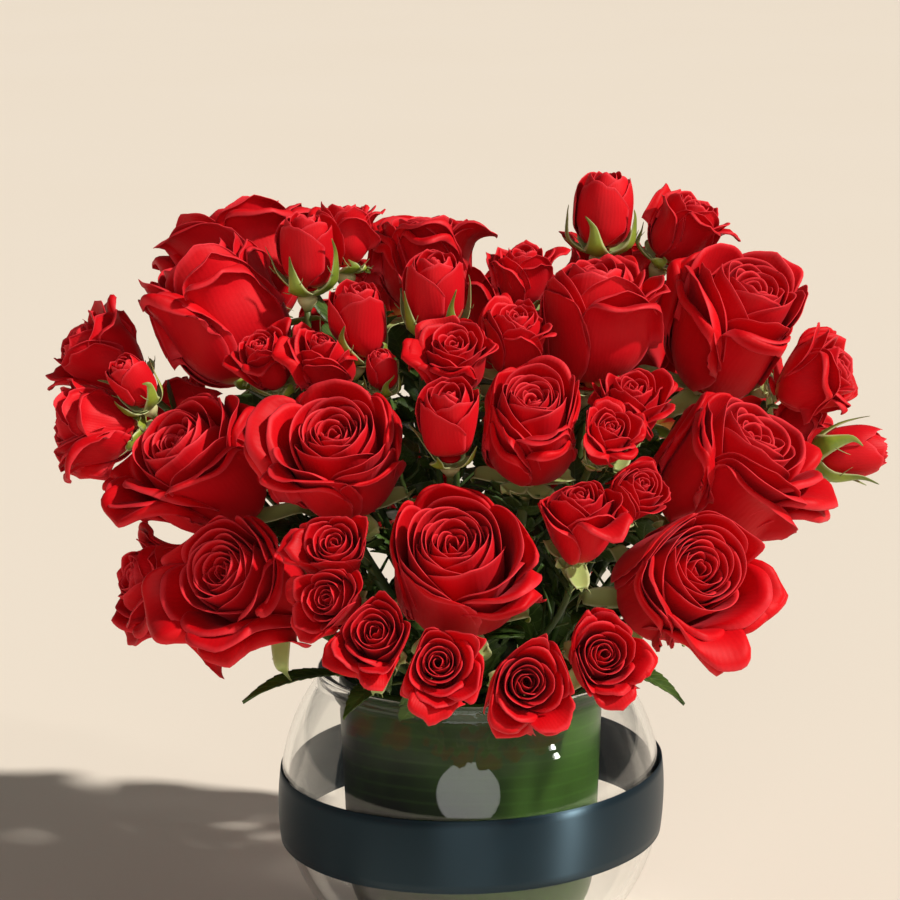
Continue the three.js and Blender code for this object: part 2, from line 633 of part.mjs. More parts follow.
// A bloom: the outer layer of petals, on a large bloom a second one inside it, and the rolled heart
function bloomSolid(bloom) {
  const { size, height, open, stage } = bloom;
  const body = new Body();
  let layer = growLayer(body, bloom, {
    share: 1,
    count: WHORL[stage],
    columns: stage === 'small' ? 2 : 3,
    heights: [0.33, 0.67, 1],
    wall: [[size * 0.1, -1.6], [size * 0.19, height * 0.05]],
  });
  body.cap(layer.lower, true);
  if (stage === 'large') {
    const { upper } = layer;
    layer = growLayer(body, bloom, {
      share: 0.5,
      count: INNER_WHORL,
      columns: 3,
      heights: [0.33, 1],
      wall: [[size * 0.17, height * 0.09], [size * 0.17, height * 0.16]],
    });
    body.band(upper, layer.lower);
  }
  const sides = stage === 'bud' ? 6 : 5;
  const waist = size * (stage === 'large' ? 0.18 : mix(0.45, 0.3, open));
  const middle = body.ring(heartRing(bloom, waist, height * 0.6, sides, layer.start));
  const tip = body.ring(heartRing(bloom, waist * 0.6, height * 0.95, sides, layer.start + 20));
  body.band(layer.upper, middle);
  body.band(middle, tip);
  body.cap(tip, false);
  return body.solid();
}

// ---- Stems, hips, sepals and leaves ----
function ringAbout(centre, direction, radius, sides) {
  const across = Math.abs(direction.z) < 0.9 ? new THREE.Vector3(0, 0, 1) : new THREE.Vector3(1, 0, 0);
  const side = across.cross(direction).normalize();
  const up = direction.clone().cross(side);
  const ring = [];
  for (let j = 0; j < sides; j += 1) {
    const a = (2 * Math.PI * j) / sides;
    const point = centre.clone().addScaledVector(side, radius * Math.cos(a));
    ring.push(point.addScaledVector(up, radius * Math.sin(a)));
  }
  return ring;
}

// A stem from the mouth of its hole to its bloom, with the swollen hip and the sepals round its top
function stemSolid(bloom) {
  const { hip } = bloom;
  const stem = Math.min(STEM[bloom.kind], hip * 0.6);
  const count = sepalCount(bloom);
  const top = bloom.base.clone().addScaledVector(bloom.axis, -CROWN_DROP);
  const collar = top.clone().addScaledVector(bloom.axis, -COLLAR_DROP);
  const hipFoot = top.clone().addScaledVector(bloom.axis, -2 * hip);
  const root = stemRoot(bloom.bundle, hipFoot);
  const bendIn = hipFoot.clone().addScaledVector(bloom.axis, -BEND_SHARE * root.distanceTo(hipFoot));
  const path = new THREE.QuadraticBezierCurve3(root, bendIn, hipFoot);
  const body = new Body();
  const rings = [0, 0.5, 1].map((t) =>
    body.ring(bloomRing(bloom, path.getPoint(t), path.getTangent(t), stem, count)));
  rings.push(body.ring(bloomRing(bloom, collar, bloom.axis, hip, count)));
  const crown = body.ring(bloomRing(bloom, top, bloom.axis, hip * 0.85, count));
  body.cap(rings[0], true);
  for (let i = 0; i < rings.length - 1; i += 1) body.band(rings[i], rings[i + 1]);
  body.cap(crown, false);
  for (let i = 0; i < count; i += 1) growSepal(body, bloom, rings[3], crown, i);
  return body.solid();
}

function sepalCount(bloom) {
  return bloom.kind === 'small' && bloom.open < 0.6 ? 4 : 3;
}

// A ring across a stem, turned so that its corners follow the bloom's side and up directions
function bloomRing(bloom, centre, direction, radius, count) {
  const side = bloom.side.clone().addScaledVector(direction, -bloom.side.dot(direction)).normalize();
  const up = direction.clone().cross(side);
  const ring = [];
  for (let j = 0; j < count; j += 1) {
    const a = (2 * Math.PI * (j - 0.5)) / count + bloom.index;
    const point = centre.clone().addScaledVector(side, radius * Math.cos(a));
    ring.push(point.addScaledVector(up, radius * Math.sin(a)));
  }
  return ring;
}

// A sepal grows from the collar of the hip and stands clear under the petals, or along a closed bud
function growSepal(body, bloom, collar, crown, number) {
  const count = sepalCount(bloom);
  const a = (2 * Math.PI * number) / count + bloom.index;
  const out = bloom.side.clone().multiplyScalar(Math.cos(a)).addScaledVector(bloom.up, Math.sin(a));
  const across = bloom.axis.clone().cross(out);
  const length = bloom.size * mix(1.9, 0.75, bloom.open);
  const halfWidth = bloom.hip * 0.85;
  const lift = mix(0.95, -0.35, ease(bloom.open * 1.6));
  const root = bloom.base.clone().addScaledVector(bloom.axis, -SEPAL_DROP);
  const next = (number + 1) % count;
  const foot = [collar[number], collar[next], crown[next], crown[number]];
  const margin = (SEPAL_THICKNESS + NEIGHBOUR_GAP) / 2;
  const at = (along, rise) => root.clone().addScaledVector(out, along).addScaledVector(bloom.axis, rise);
  const free = at(bloom.belly + SEPAL_CLEAR, lift * length * 0.3);
  const waist = press(free.clone(), bloom, margin);
  if (waist.distanceTo(free) > SEPAL_ROOM * bloom.size) {
    body.square(...foot, true);
    return;
  }
  const half = SEPAL_THICKNESS / 2;
  const middle = [[-1, half], [1, half], [1, -half], [-1, -half]].map(([u, off]) => {
    const point = waist.clone().addScaledVector(across, u * halfWidth).addScaledVector(out, off * lift);
    return body.vertex(point.addScaledVector(bloom.axis, -off));
  });
  const tip = body.vertex(press(at(bloom.size * 0.9 + SEPAL_REACH, lift * length), bloom, margin));
  for (let j = 0; j < 4; j += 1) {
    const k = (j + 1) % 4;
    body.square(foot[j], foot[k], middle[k], middle[j], true);
    body.triangles.push([middle[j], middle[k], tip]);
  }
}

// A toothed leaflet on its own stalk from the bundle
function leafSolid({ bundle, from, to, width }) {
  const start = new THREE.Vector3(...from);
  const along = new THREE.Vector3(...to).sub(start);
  const across = along.clone().cross(new THREE.Vector3(0, 0, 1)).normalize();
  const middle = (v) => {
    const point = start.clone().addScaledVector(along, v);
    point.z += LEAF_ARCH * Math.sin(Math.PI * v * 0.9);
    return point;
  };
  const rows = 6;
  const grid = [];
  for (let i = 0; i <= rows; i += 1) {
    const v = i / rows;
    const tooth = i % 2 === 1 ? LEAF_TOOTH.out : LEAF_TOOTH.in;
    const half = i === rows ? 0 : (width / 2) * Math.sin(Math.PI * (0.12 + 0.88 * v) ** 0.85) * tooth;
    grid.push([-1, 0, 1].map((u) => {
      const point = middle(v).addScaledVector(across, u * half);
      point.z += LEAF_TROUGH * Math.abs(u);
      return point;
    }));
  }
  const root = stemRoot(bundle, start);
  const direction = start.clone().sub(root).normalize();
  const stalk = loftSolid([
    ringAbout(root, direction, STALK.foot, 4),
    ringAbout(middle(0.25), direction, STALK.tip, 4),
  ]);
  return bladeSolid(grid, SEPAL_THICKNESS).add(stalk);
}

// The bundle's stems are cut square together and stand in one hole of the foam
function trunkSolid({ x, y }) {
  const rings = [[HOLE_BOTTOM + 1, 0.8], [KNOT_Z - 6, 1], [KNOT_Z + 4, 0.8]];
  return loftSolid(rings.map(([z, share]) =>
    ringAbout(new THREE.Vector3(x, y, z), new THREE.Vector3(0, 0, 1), TRUNK_RADIUS * share, 6)));
}

function bundleSolid(name, blooms) {
  const stems = blooms.filter(({ bundle }) => bundle === name).map(stemSolid);
  const leaves = LEAVES.filter(({ bundle }) => bundle === name).map(leafSolid);
  return join([trunkSolid(BUNDLES[name]), ...stems, ...leaves]);
}

// ---- The whole ----
function addPart(group, name, solid, look) {
  const mesh = new THREE.Mesh(geometryOf(solid), new THREE.MeshStandardMaterial(look));
  mesh.name = name;
  group.add(mesh);
}

const vase = new THREE.Group();
addPart(vase, 'glass_bowl', bowlSolid(), GLASS);
addPart(vase, 'leaf_liner', linerSolid(), LEAF_SKIN);
addPart(vase, 'floral_foam', foamSolid(), WET_FOAM);
addPart(vase, 'ribbon', ribbonSolid(), SATIN);

const flowers = new THREE.Group();
const blooms = [
  ...ROSES.map((row, i) => bloomOf(row, i, 'large')),
  ...SPRAYS.map((row, i) => bloomOf(row, ROSES.length + i, 'small')),
];
partNeighbours(blooms);
for (const bloom of blooms) addPart(flowers, bloom.name, bloomSolid(bloom), RED);
for (const name of Object.keys(BUNDLES)) addPart(flowers, 'stems_' + name, bundleSolid(name, blooms), GREEN);

const rosesInVase = new THREE.Group();
rosesInVase.add(vase, flowers);

export default rosesInVase;
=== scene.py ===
"""Red roses in a fish-bowl vase: thin petals, leaves, glass and satin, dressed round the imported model.

Each head has its whorls of petals, and each petal is a thin closed shell. Where heads meet, a plane between
them presses their petals back. Lengths are in millimetres until a shape becomes an object.
"""

import math
from functools import cached_property, partial

import bpy
import numpy as np
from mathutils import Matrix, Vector


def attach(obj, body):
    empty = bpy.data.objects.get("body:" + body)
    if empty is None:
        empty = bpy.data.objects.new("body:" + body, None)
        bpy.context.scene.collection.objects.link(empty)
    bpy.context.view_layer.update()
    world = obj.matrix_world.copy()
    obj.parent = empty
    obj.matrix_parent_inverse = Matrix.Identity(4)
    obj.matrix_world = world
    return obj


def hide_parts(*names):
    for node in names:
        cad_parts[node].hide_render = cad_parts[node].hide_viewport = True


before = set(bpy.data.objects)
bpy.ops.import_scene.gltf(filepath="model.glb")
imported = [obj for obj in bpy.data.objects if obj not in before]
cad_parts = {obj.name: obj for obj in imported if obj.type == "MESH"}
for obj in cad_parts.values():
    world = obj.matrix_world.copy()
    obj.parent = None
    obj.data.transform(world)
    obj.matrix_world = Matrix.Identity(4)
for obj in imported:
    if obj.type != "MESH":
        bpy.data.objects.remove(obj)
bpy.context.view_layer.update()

MM = 0.001
Z = np.array([0.0, 0.0, 1.0])

# ---- The vase ----
BOWL_RADIUS = 100.0
BOWL_CENTRE_Z = 85.0
BOWL_WALL = 3.8
BOWL_FLOOR = 7.0
BOWL_RIM_Z = 149.0
LIP_RADIUS = 3.2
LIP_OUT = 0.4
FOOT_INSET = 1.5
FOOT_HOLLOW = 0.35  # how far the middle of the base stands off the table
FOOT_RING = (6.0, 3.5)  # where the hollow ends and where the bowl stands, in from the foot
HEEL_RADIUS = 1.9
HEEL_INSET = 1.6
WALL_START_Z = 3.0
FILLET = (9.0, 6.0)  # width and height of the curve between the floor and the wall
SOLID_SIDES = 32  # the ribbon clears the corners of a bowl of this many sides
LINER_THICKNESS = 1.0
LINER_STEP = 2.0  # how far the end of the leaf stands off the start that it covers
LINER_INSET = 0.3
LINER_SHAPE = [(8.5, 51.0), (30.0, 65.0), (90.0, 67.0), (151.0, 69.0)]  # height and radius
LINER_TURN = (144, 12, 6, 70)  # steps to a turn, steps that overlap, steps to stand off, and start in degrees
LINER_WAVE = (1.2, 120.0, 31.0)  # how high its rim waves, from which height up, and over how much it grows
LINER_BULGE = (0.35, 20.0, 30.0)  # how far its wall bulges, likewise
FOAM_GAP = 3.4
FOAM_TOP = 146.0
FOAM_DOME = 3.0
FOAM_LIFT = 0.5
HOLE_RADIUS = 7.5
HOLE_BOTTOM = 80.0
HOLE_DEPTH = 80.0
RIBBON_WIDTH = 38.0
RIBBON_THICKNESS = 0.45
RIBBON_GAP = 0.35
RIBBON_Z = 82.0
RIBBON_RISE = 0.032
RIBBON_TURN = (180, 6, 4, 84)
RIBBON_CROWN = 1.35  # how far its edges lean in
RIBBON_RIPPLE = 0.12

# ---- The plants ----
STEM = {"large": 2.8, "small": 1.7}
HIP = {"large": 5.5, "small": 4.2}
HIP_MOST = 0.27  # of the head's size
HIP_SHAPE = [  # height and radius, as shares of the hip's radius
    (-2.1, 0.45), (-1.8, 0.6), (-1.4, 0.92), (-0.95, 1.18), (-0.5, 1.22), (-0.2, 1.04), (0.0, 0.92),
    (0.16, 1.0),
]
THORNS = {"large": 3, "small": 0}
THORN = [(0.0, 0.0), (2.2, -0.6), (4.2, -2.4)]  # away from the stem and along it
THORN_RADII = [1.5, 0.8, 0.08]
THORN_FOOT = 0.7  # of the stem's radius
TRUNK_RADIUS = 5.2
KNOT_Z = 151.0
SEPALS = 5
SEPAL_STEPS = 22
SEPAL_THICKNESS = 0.5
SEPAL_LENGTH = (1.9, 0.8)  # of the head's size, on a closed head and on an open one
SEPAL_HALF_WIDTH = (1.6, 0.95)  # of the hip's radius
SEPAL_LIFT = (0.95, -0.35)  # of its length: up beside a closed head, and back below an open one
SEPAL_TIP = (1.05, 0.74)  # how far out its tip is, of the head's size
SEPAL_WIDTHS = [(0, 0.7), (0.12, 1.0), (0.3, 1.05), (0.48, 0.8), (0.66, 0.42), (0.84, 0.15), (1, 0.03)]
SEPAL_COLUMNS = [-1, -0.72, -0.36, 0, 0.36, 0.72, 1]
SEPAL_LOBES = (0.42, 0.6)  # where its side lobes spring
LOBE_RADII = [0.32, 0.28, 0.22, 0.16, 0.06]
LEAF_ARCH = 7.0
LEAF_TROUGH = 1.8  # how deep a leaf 18 wide is troughed
LEAF_THICKNESS = 0.4
LEAF_MARGIN = 0.6  # what it keeps from a neighbour's plane
FOLIAGE = {  # where leaves spring on a stem, as shares of it, and how large they are
    "large": ((0.36, 0.46, 0.54, 0.62, 0.72), 38),
    "small": ((0.46, 0.54, 0.62, 0.74), 31),
}
LEAFLETS = ((5, 0.0), (3, 62.0), (3, -62.0))  # the point of the stalk where each springs, and its turn
LEAFLET_STALK = 0.75  # of the leaf's size
LEAFLET_WIDTH = 0.66  # of its length
SIDE_LEAFLET = 0.82  # of the end one's length
LEAFLET_SHRINKS = (1.0, 0.75, 0.5)  # tried in turn where there isn't room for it
COLLAR_LEAVES = 7
COLLAR_RISE = 52
COLLAR_WIDTH = 27

# ---- The heads ----
BUD_OPEN = 0.35  # a small head that is less open is a bud
HEAD_HEIGHT = 1.34  # of its size
CLOSED_TALLER = 1.45
BELLY = (0.9, 0.62)  # of its size, when closed and when open
REACH = 1.08
FLARE = 78.0  # degrees by which a petal leans out at its foot
SWELL = {"rose_front": 1.1, "rose_left_middle": 1.04}  # heads whose petals open wider than their solids
PUSH = {"rose_front": 1.3, "rose_centre": 1.15, "rose_edge_left": 1.2}  # heads that take room from the others
CROSSING_SHARE = 0.1
NEAR = 1.15  # heads that are farther apart than this, as a share of their reach, don't touch
PRESS_PASSES = 2
PRESS_ROOM = 0.35  # how deep into a head its petals give way
PRESS_HARD = 9.0
PRESS_SOFT = 4.5
PRESS_TIGHT = (0.85, 0.5)  # how tight a place is where a press starts to soften, and over how much
FOOT_ROOM = 6.0
PETAL_MARGIN = 0.5
HEAD_OUTLINE = ((0.0, 0.1, 0.35, 1.02), (0.3, 0.66, 0.9, 1.1))  # shares of its height, and of its size there
SPARE_FACING = 0.4  # a plane that faces a petal less than this isn't in its way
SPARE_MOST = 0.4
GAP_FILL = (1.0, 0.5, 0.0)  # how much of the spare room the petals of each outer whorl take
CRAMPED = (1.15, 0.4)  # room at which a petal starts to flatten, and over how much less
FLATTEN = 0.85

# Whorls of a head, outermost first: petals, half the angle that each one wraps in degrees, and the radius of
# its belly, the radius of its rim and the height of its rim, as shares of the head's
WHORLS = {
    "large": [
        (5, 45, 1.12, 1.32, 0.9), (5, 52, 1.04, 1.0, 1.0), (5, 57, 0.92, 0.74, 1.05),
        (3, 86, 0.77, 0.48, 1.06), (3, 92, 0.64, 0.39, 1.06), (3, 97, 0.53, 0.32, 1.05),
        (3, 101, 0.43, 0.26, 1.04), (3, 104, 0.34, 0.2, 1.02), (3, 108, 0.25, 0.145, 1.0),
        (2, 140, 0.17, 0.09, 0.98), (2, 150, 0.09, 0.045, 0.96),
    ],
    "small": [
        (5, 45, 1.14, 1.26, 0.93), (5, 53, 1.02, 0.96, 1.02), (4, 65, 0.83, 0.68, 1.06),
        (3, 88, 0.62, 0.47, 1.06), (3, 97, 0.46, 0.32, 1.04), (3, 104, 0.3, 0.2, 1.02),
        (2, 145, 0.16, 0.09, 1.0),
    ],
    "bud": [
        (3, 74, 1.04, 0.9, 1.06), (3, 86, 0.88, 0.68, 1.1), (3, 96, 0.68, 0.46, 1.14),
        (2, 132, 0.44, 0.27, 1.14), (2, 150, 0.22, 0.13, 1.1),
    ],
}
CUP_SHARE = 0.55  # whorls with wider rims than this are cups, and the others are the heart
# What shapes a petal, in a cup and in the heart. Lengths are shares of the head's size
PETAL = {
    "lean": (5, 2),  # degrees out from the axis
    "uneven_rim": (0.06, 0.03),
    "uneven_height": (0.045, 0.025),
    "over": (0.034, 0.022),  # how far one side stands over the next petal
    "lift": (0.06, 0.0),
    "start": (0.02, 0.2),
    "shoulder": (0.34, 0.2),
    "rib": (0.003, 0.0015),
    "band": (0.09, 0.02),  # width of the margin that rolls back, in the widest whorl
    "side_roll": (0.4, 0.1),
    "most": (132, 90),  # degrees that the margin of an open head rolls at most
}
CUP_WAVE = 0.03
OUTER_OVER = 0.06  # what the outermost whorl has in place of "over" and "start"
OUTER_START = 0.02
# What differs between large and small heads
GRADE = {
    "large": {"point": 0.025, "ragged": 0.0015, "heart_wave": 0.008, "ribs": 1.0, "thickness": 1,
              "cup_grid": (27, 24), "heart_grid": (31, 14)},
    "small": {"point": 0.035, "ragged": 0.007, "heart_wave": 0.016, "ribs": 0.6, "thickness": 0.8,
              "cup_grid": (19, 18), "heart_grid": (23, 11)},
}
# Waves across a petal: how close they are, their shift by its seed, their slant along it, and their weight
EDGE_WAVES = ((9.0, 1.0, 0.0, 1.0), (17.0, 2.1, 0.0, 0.6))
FACE_WAVES = ((3.4, 1.0, 0.0, 1.0), (7.9, -1.7, 0.0, 0.4))
RIB_WAVES = ((11.0, 5.0, 0.0, 0.6), (23.0, -3.0, 4.0, 0.4))
PETAL_THICKNESS = (0.3, 0.62)  # at its rim and farther in
SEAT_HEIGHTS = [0.3, 1.4, 2.4]
SEAT_RADII = [1.25, 1.1, 0.1]  # of the hip's radius

# What a green point is, as the material reads it
STEM_KIND, HIP_KIND, SEPAL_KIND, LEAF_KIND = 0.0, 1.0, 2.0, 3.0

# ---- Colours, light and camera ----
COLOURS = {
    "petal_dark": (184, 0, 9), "petal_light": (212, 2, 14), "petal_vein": (160, 0, 8),
    # The pale pink of the petal rims is a painted highlight where the thin edges catch the light.
    "petal_back": (216, 22, 34), "petal_rim_highlight": (238, 70, 80), "petal_shade": (168, 0, 16),
    "petal_foot": (226, 196, 120),
    "stem_dark": (36, 60, 22), "stem_light": (60, 84, 32), "stem_top": (112, 122, 56),
    "hip_foot": (128, 146, 62), "hip_top": (214, 210, 150), "hip_blotch": (168, 150, 84),
    "sepal_dark": (112, 136, 38), "sepal_light": (162, 178, 60), "sepal_back": (186, 198, 140),
    "sepal_margin": (206, 210, 158), "sepal_tip": (70, 78, 36),
    "leaf_dark": (38, 62, 20), "leaf_light": (78, 104, 38), "leaf_vein": (112, 138, 70),
    "green_shade": (40, 56, 20),
    # The liner's dark and light greens are spread partly as painted light and shade across its sides.
    "liner_dark": (5, 12, 2), "liner_light": (50, 78, 26), "liner_vein": (74, 106, 44),
    "foam_dark": (26, 58, 32), "foam_light": (52, 92, 52),
    "ribbon_dark": (6, 16, 22), "ribbon_light": (11, 25, 33), "ribbon_selvage": (16, 30, 40),
    "floor": (233, 222, 207),
    "white": (255, 255, 255),
}
WARM = (1.0, 0.96, 0.9)
PALE = (1.0, 0.98, 0.95)
# name, strength, colour, and in degrees how wide it is, its azimuth from the camera's side and its elevation
SUNS = [
    ("key", 4.2, WARM, 3, 70, 42),
    ("small_box_upper", 0.12, PALE, 3, 60, 31),
    ("small_box_lower", 0.12, PALE, 3.6, 60, 26),
    ("round_soft_box", 0.75, PALE, 38, -2, 14),
]
SUN_DISTANCE = 2000.0
ROOM_COLOUR = (0.9, 0.86, 0.8, 1)
ROOM_STRENGTH = 0.125
FLOOR_RADIUS = 30000.0
FLOOR_Z = -0.5
CAMERA_TARGET = (-11.0, 0.0, 266.0)
CAMERA_DISTANCE = 1500.0
CAMERA_ELEVATION = 12.5
CAMERA_HALF_VIEW = 8.75
SENSOR_WIDTH = 36  # of the camera, in its own millimetres

# ---- The places ----
BUNDLES = {
    "middle": (0, 4),
    "front": (0, -38),
    "back": (0, 42),
    "left": (-38, -2),
    "right": (38, -2),
}

# name, middle of the head, the way it faces, half width, how far open, bundle
ROSES = [
    ("rose_upper_left", (-125, 5, 332), (-0.5, 0.1, 0.86), 45, 0.7, "left"),
    ("rose_far_left", (-118, 58, 348), (-0.3, 0.35, 0.85), 39.5, 0.7, "left"),
    ("rose_left", (-132, -55, 263), (-0.45, -0.4, 0.74), 45, 0.9, "left"),
    ("rose_left_middle", (-63, -100, 279), (-0.1, -0.58, 0.78), 41, 1, "front"),
    ("rose_centre", (27, -102, 295), (0.05, -0.48, 0.86), 37, 0.9, "front"),
    ("rose_upper_right", (59, -35, 335), (0.05, -0.12, 1), 36.5, 0.5, "middle"),
    ("rose_top_right", (130, -5, 326), (0.37, -0.36, 0.84), 45, 0.8, "right"),
    ("rose_right", (121, -68, 265), (0.54, -0.3, 0.78), 49.5, 1, "right"),
    ("rose_lower_right", (96, -112, 226), (0.38, -0.78, 0.45), 46, 1, "right"),
    ("rose_front", (-8, -134, 234), (-0.04, -0.68, 0.72), 44, 0.9, "front"),
    ("rose_lower_left", (-108, -100, 220), (-0.45, -0.68, 0.5), 42, 1, "left"),
    ("rose_edge_left", (-149, -48, 207), (-0.85, -0.3, 0.3), 28.5, 0.5, "left"),
    ("rose_top", (-25, 28, 356), (0, 0.12, 1), 33, 0.9, "middle"),
    ("rose_back_right", (112, 88, 282), (0.6, 0.55, 0.6), 46, 1, "back"),
    ("rose_back", (20, 118, 290), (0.1, 0.75, 0.65), 46, 0.9, "back"),
    ("rose_back_left", (-75, 118, 272), (-0.45, 0.7, 0.55), 45, 1, "back"),
    ("rose_back_low", (52, 128, 208), (0.3, 0.9, 0.3), 45, 1, "back"),
]
SPRAYS = [
    ("bud_top_left", (-83, -8, 367), (0, -0.08, 1), 19, 0.3, "left"),
    ("bud_upper_left", (-57, -45, 338), (0.05, -0.2, 1), 19, 0.3, "front"),
    ("bud_top", (-19, -42, 352), (0.02, -0.2, 1), 19.5, 0.25, "front"),
    ("spray_top_right", (26, -12, 356), (-0.05, -0.1, 1), 17.5, 0.5, "middle"),
    ("bud_tip", (67, 12, 385), (0.1, -0.05, 1), 18.5, 0.1, "middle"),
    ("spray_tip_right", (108, 34, 373), (0.5, -0.1, 0.85), 20, 0.4, "right"),
    ("spray_right", (170, -8, 306), (0.87, -0.25, 0.3), 24, 0.6, "right"),
    ("bud_right", (191, -12, 268), (0.97, -0.1, 0.1), 16, 0, "right"),
    ("spray_far_left", (-186, 6, 310), (-0.72, -0.1, 0.6), 25, 0.5, "left"),
    ("spray_side_left", (-187, -22, 283), (-0.93, -0.2, 0.1), 25, 0.5, "left"),
    ("bud_centre", (-11, -114, 302), (0, -0.42, 0.9), 20, 0.3, "front"),
    ("spray_centre", (-9, -76, 324), (0, -0.5, 0.85), 23, 0.9, "front"),
    ("bud_small_left", (-44, -70, 320), (-0.1, -0.3, 0.95), 9, 0, "front"),
    ("spray_front_right", (49, -126, 258), (0.05, -0.42, 0.9), 24.5, 0.6, "front"),
    ("spray_inner_right", (75, -110, 266), (0.4, -0.5, 0.7), 17, 0.5, "right"),
    ("spray_upper_right", (76, -72, 300), (0.1, -0.4, 0.9), 21.5, 0.6, "right"),
    ("spray_beside_right", (62, -110, 295), (0.25, -0.6, 0.7), 15, 0.5, "right"),
    ("spray_left_inner", (-63, -134, 245), (-0.15, -0.7, 0.62), 20.5, 0.8, "front"),
    ("spray_left_low", (-63, -147, 227), (-0.4, -0.8, 0.3), 18.5, 0.7, "front"),
    ("spray_low_left", (-44, -159, 211), (-0.12, -0.8, 0.5), 23, 0.8, "front"),
    ("spray_low_middle", (-16, -163, 200), (-0.02, -0.92, 0.38), 22.5, 0.9, "front"),
    ("spray_low_front", (24, -156, 189), (0.06, -0.94, 0.3), 24.5, 0.9, "front"),
    ("spray_low_right", (59, -145, 198), (0.12, -0.9, 0.4), 22, 0.8, "right"),
    ("bud_dark_left", (-169, -30, 306), (-0.4, -0.4, 0.8), 13, 0.1, "left"),
    ("spray_between_left", (-102, -36, 318), (-0.3, -0.45, 0.85), 16, 0.4, "left"),
    ("spray_inner_left", (-72, -54, 321), (-0.1, -0.4, 0.9), 19, 0.5, "front"),
    ("spray_inner_top", (20, -58, 332), (0.1, -0.3, 0.95), 19.5, 0.5, "middle"),
    ("spray_top_back", (-65, 10, 374), (-0.05, 0.1, 1), 18, 0.5, "middle"),
    ("spray_behind_right", (167, 22, 268), (0.8, 0.25, 0.5), 23, 0.6, "right"),
    ("spray_back_top", (72, 72, 344), (0.25, 0.45, 0.85), 24, 0.7, "back"),
    ("spray_back_middle", (-38, 82, 336), (-0.1, 0.5, 0.85), 24, 0.8, "back"),
    ("spray_back_side", (-150, 62, 262), (-0.75, 0.45, 0.45), 25, 0.8, "left"),
    ("spray_back_low_left", (-28, 132, 204), (-0.15, 0.95, 0.25), 25, 0.9, "back"),
    ("spray_back_low_right", (124, 82, 206), (0.75, 0.6, 0.25), 25, 0.8, "right"),
]

# Leaflets: bundle, where each one springs, where its tip is, and its width
LEAVES = [
    ("left", (-62, -62, 164), (-112, -96, 158), 17),
    ("front", (-40, -84, 166), (-62, -122, 158), 15),
    ("front", (-8, -80, 162), (-22, -112, 152), 15),
    ("front", (12, -80, 164), (34, -118, 156), 16),
    ("right", (66, -54, 166), (104, -86, 154), 16),
    ("right", (80, -20, 176), (134, -36, 168), 19),
    ("right", (84, 8, 200), (150, 4, 222), 19),
    ("left", (-82, 4, 178), (-140, 4, 170), 19),
    ("left", (-74, 36, 170), (-118, 58, 156), 18),
    ("back", (-24, 78, 164), (-52, 118, 152), 18),
    ("back", (28, 80, 166), (60, 116, 154), 18),
    ("right", (66, 50, 170), (110, 76, 158), 18),
]


# ---- Small helpers ----
def ease(x):
    s = np.clip(x, 0.0, 1.0)
    return s * s * (3 - 2 * s)


def mix(a, b, t):
    return a + (b - a) * t


def draw(a, b):
    """A repeatable draw between -1 and 1 for each pair of numbers."""
    x = math.sin(a * 12.9898 + b * 78.233) * 43758.5453
    return 2 * (x - math.floor(x)) - 1


def unit(v):
    v = np.asarray(v, float)
    return v / np.maximum(np.linalg.norm(v, axis=-1, keepdims=True), 1e-9)


def across_line(line, way):
    """At each point of a line: its direction, the one nearest to way that is square to it, and the third."""
    tangent = unit(np.gradient(line, axis=0))
    wide = unit(way - tangent * (tangent @ way)[:, None])
    return tangent, wide, np.cross(tangent, wide)


def waves(u, v, seed, table):
    return sum(weight * np.sin(close * u + shift * seed + slant * v) for close, shift, slant, weight in table)


def blade(line, wide, over, half, u, rise):
    """A grid along a line, from its half width at each point, its columns u and their rise over the line."""
    return line[:, None] + wide[:, None] * (half[:, None] * u)[..., None] + over[:, None] * rise[..., None]


def grid_quads(rows, columns):
    """Faces of a grid of rows by columns points, numbered row by row."""
    i, j = np.meshgrid(np.arange(rows - 1), np.arange(columns - 1), indexing="ij")
    a = (i * columns + j).ravel()
    return np.stack([a, a + 1, a + columns + 1, a + columns], 1)


def ring_quads(rows, sides):
    """Faces round a tube of rows rings, each of sides points."""
    i, j = np.meshgrid(np.arange(rows - 1), np.arange(sides), indexing="ij")
    k = (j + 1) % sides
    low, high = i * sides, (i + 1) * sides
    return np.stack([low + j, low + k, high + k, high + j], -1).reshape(-1, 4)


def end_fans(rows, sides):
    """Faces that close such a tube round two more points, the middles of its first and its last ring."""
    j = np.arange(sides)
    k = (j + 1) % sides
    first, last = np.full(sides, rows * sides), np.full(sides, rows * sides + 1)
    top = (rows - 1) * sides
    return np.concatenate([np.stack([first, k, j], 1), np.stack([last, top + j, top + k], 1)])


def shell(grid, thickness):
    """A thin closed shell from the middle surface grid[row, column]. Returns its points, its faces, and for
    each point 1 on the face that looks along the normal of (columns, rows) and 0 on the other."""
    rows, columns = grid.shape[:2]
    normal = unit(np.cross(np.gradient(grid, axis=1), np.gradient(grid, axis=0)))
    half = np.asarray(thickness, float) / 2
    if half.ndim:
        half = half[..., None]
    front = (grid + normal * half).reshape(-1, 3)
    back = (grid - normal * half).reshape(-1, 3)
    n = rows * columns
    faces = grid_quads(rows, columns)
    rim = np.concatenate([
        np.arange(columns),
        np.arange(1, rows) * columns + columns - 1,
        (rows - 1) * columns + np.arange(columns - 2, -1, -1),
        np.arange(rows - 2, 0, -1) * columns,
    ])
    following = np.roll(rim, -1)
    edge = np.stack([rim, following, following + n, rim + n], 1)[:, ::-1]
    quads = np.concatenate([faces, faces[:, ::-1] + n, edge])
    return np.concatenate([front, back]), quads, np.concatenate([np.ones(n), np.zeros(n)])


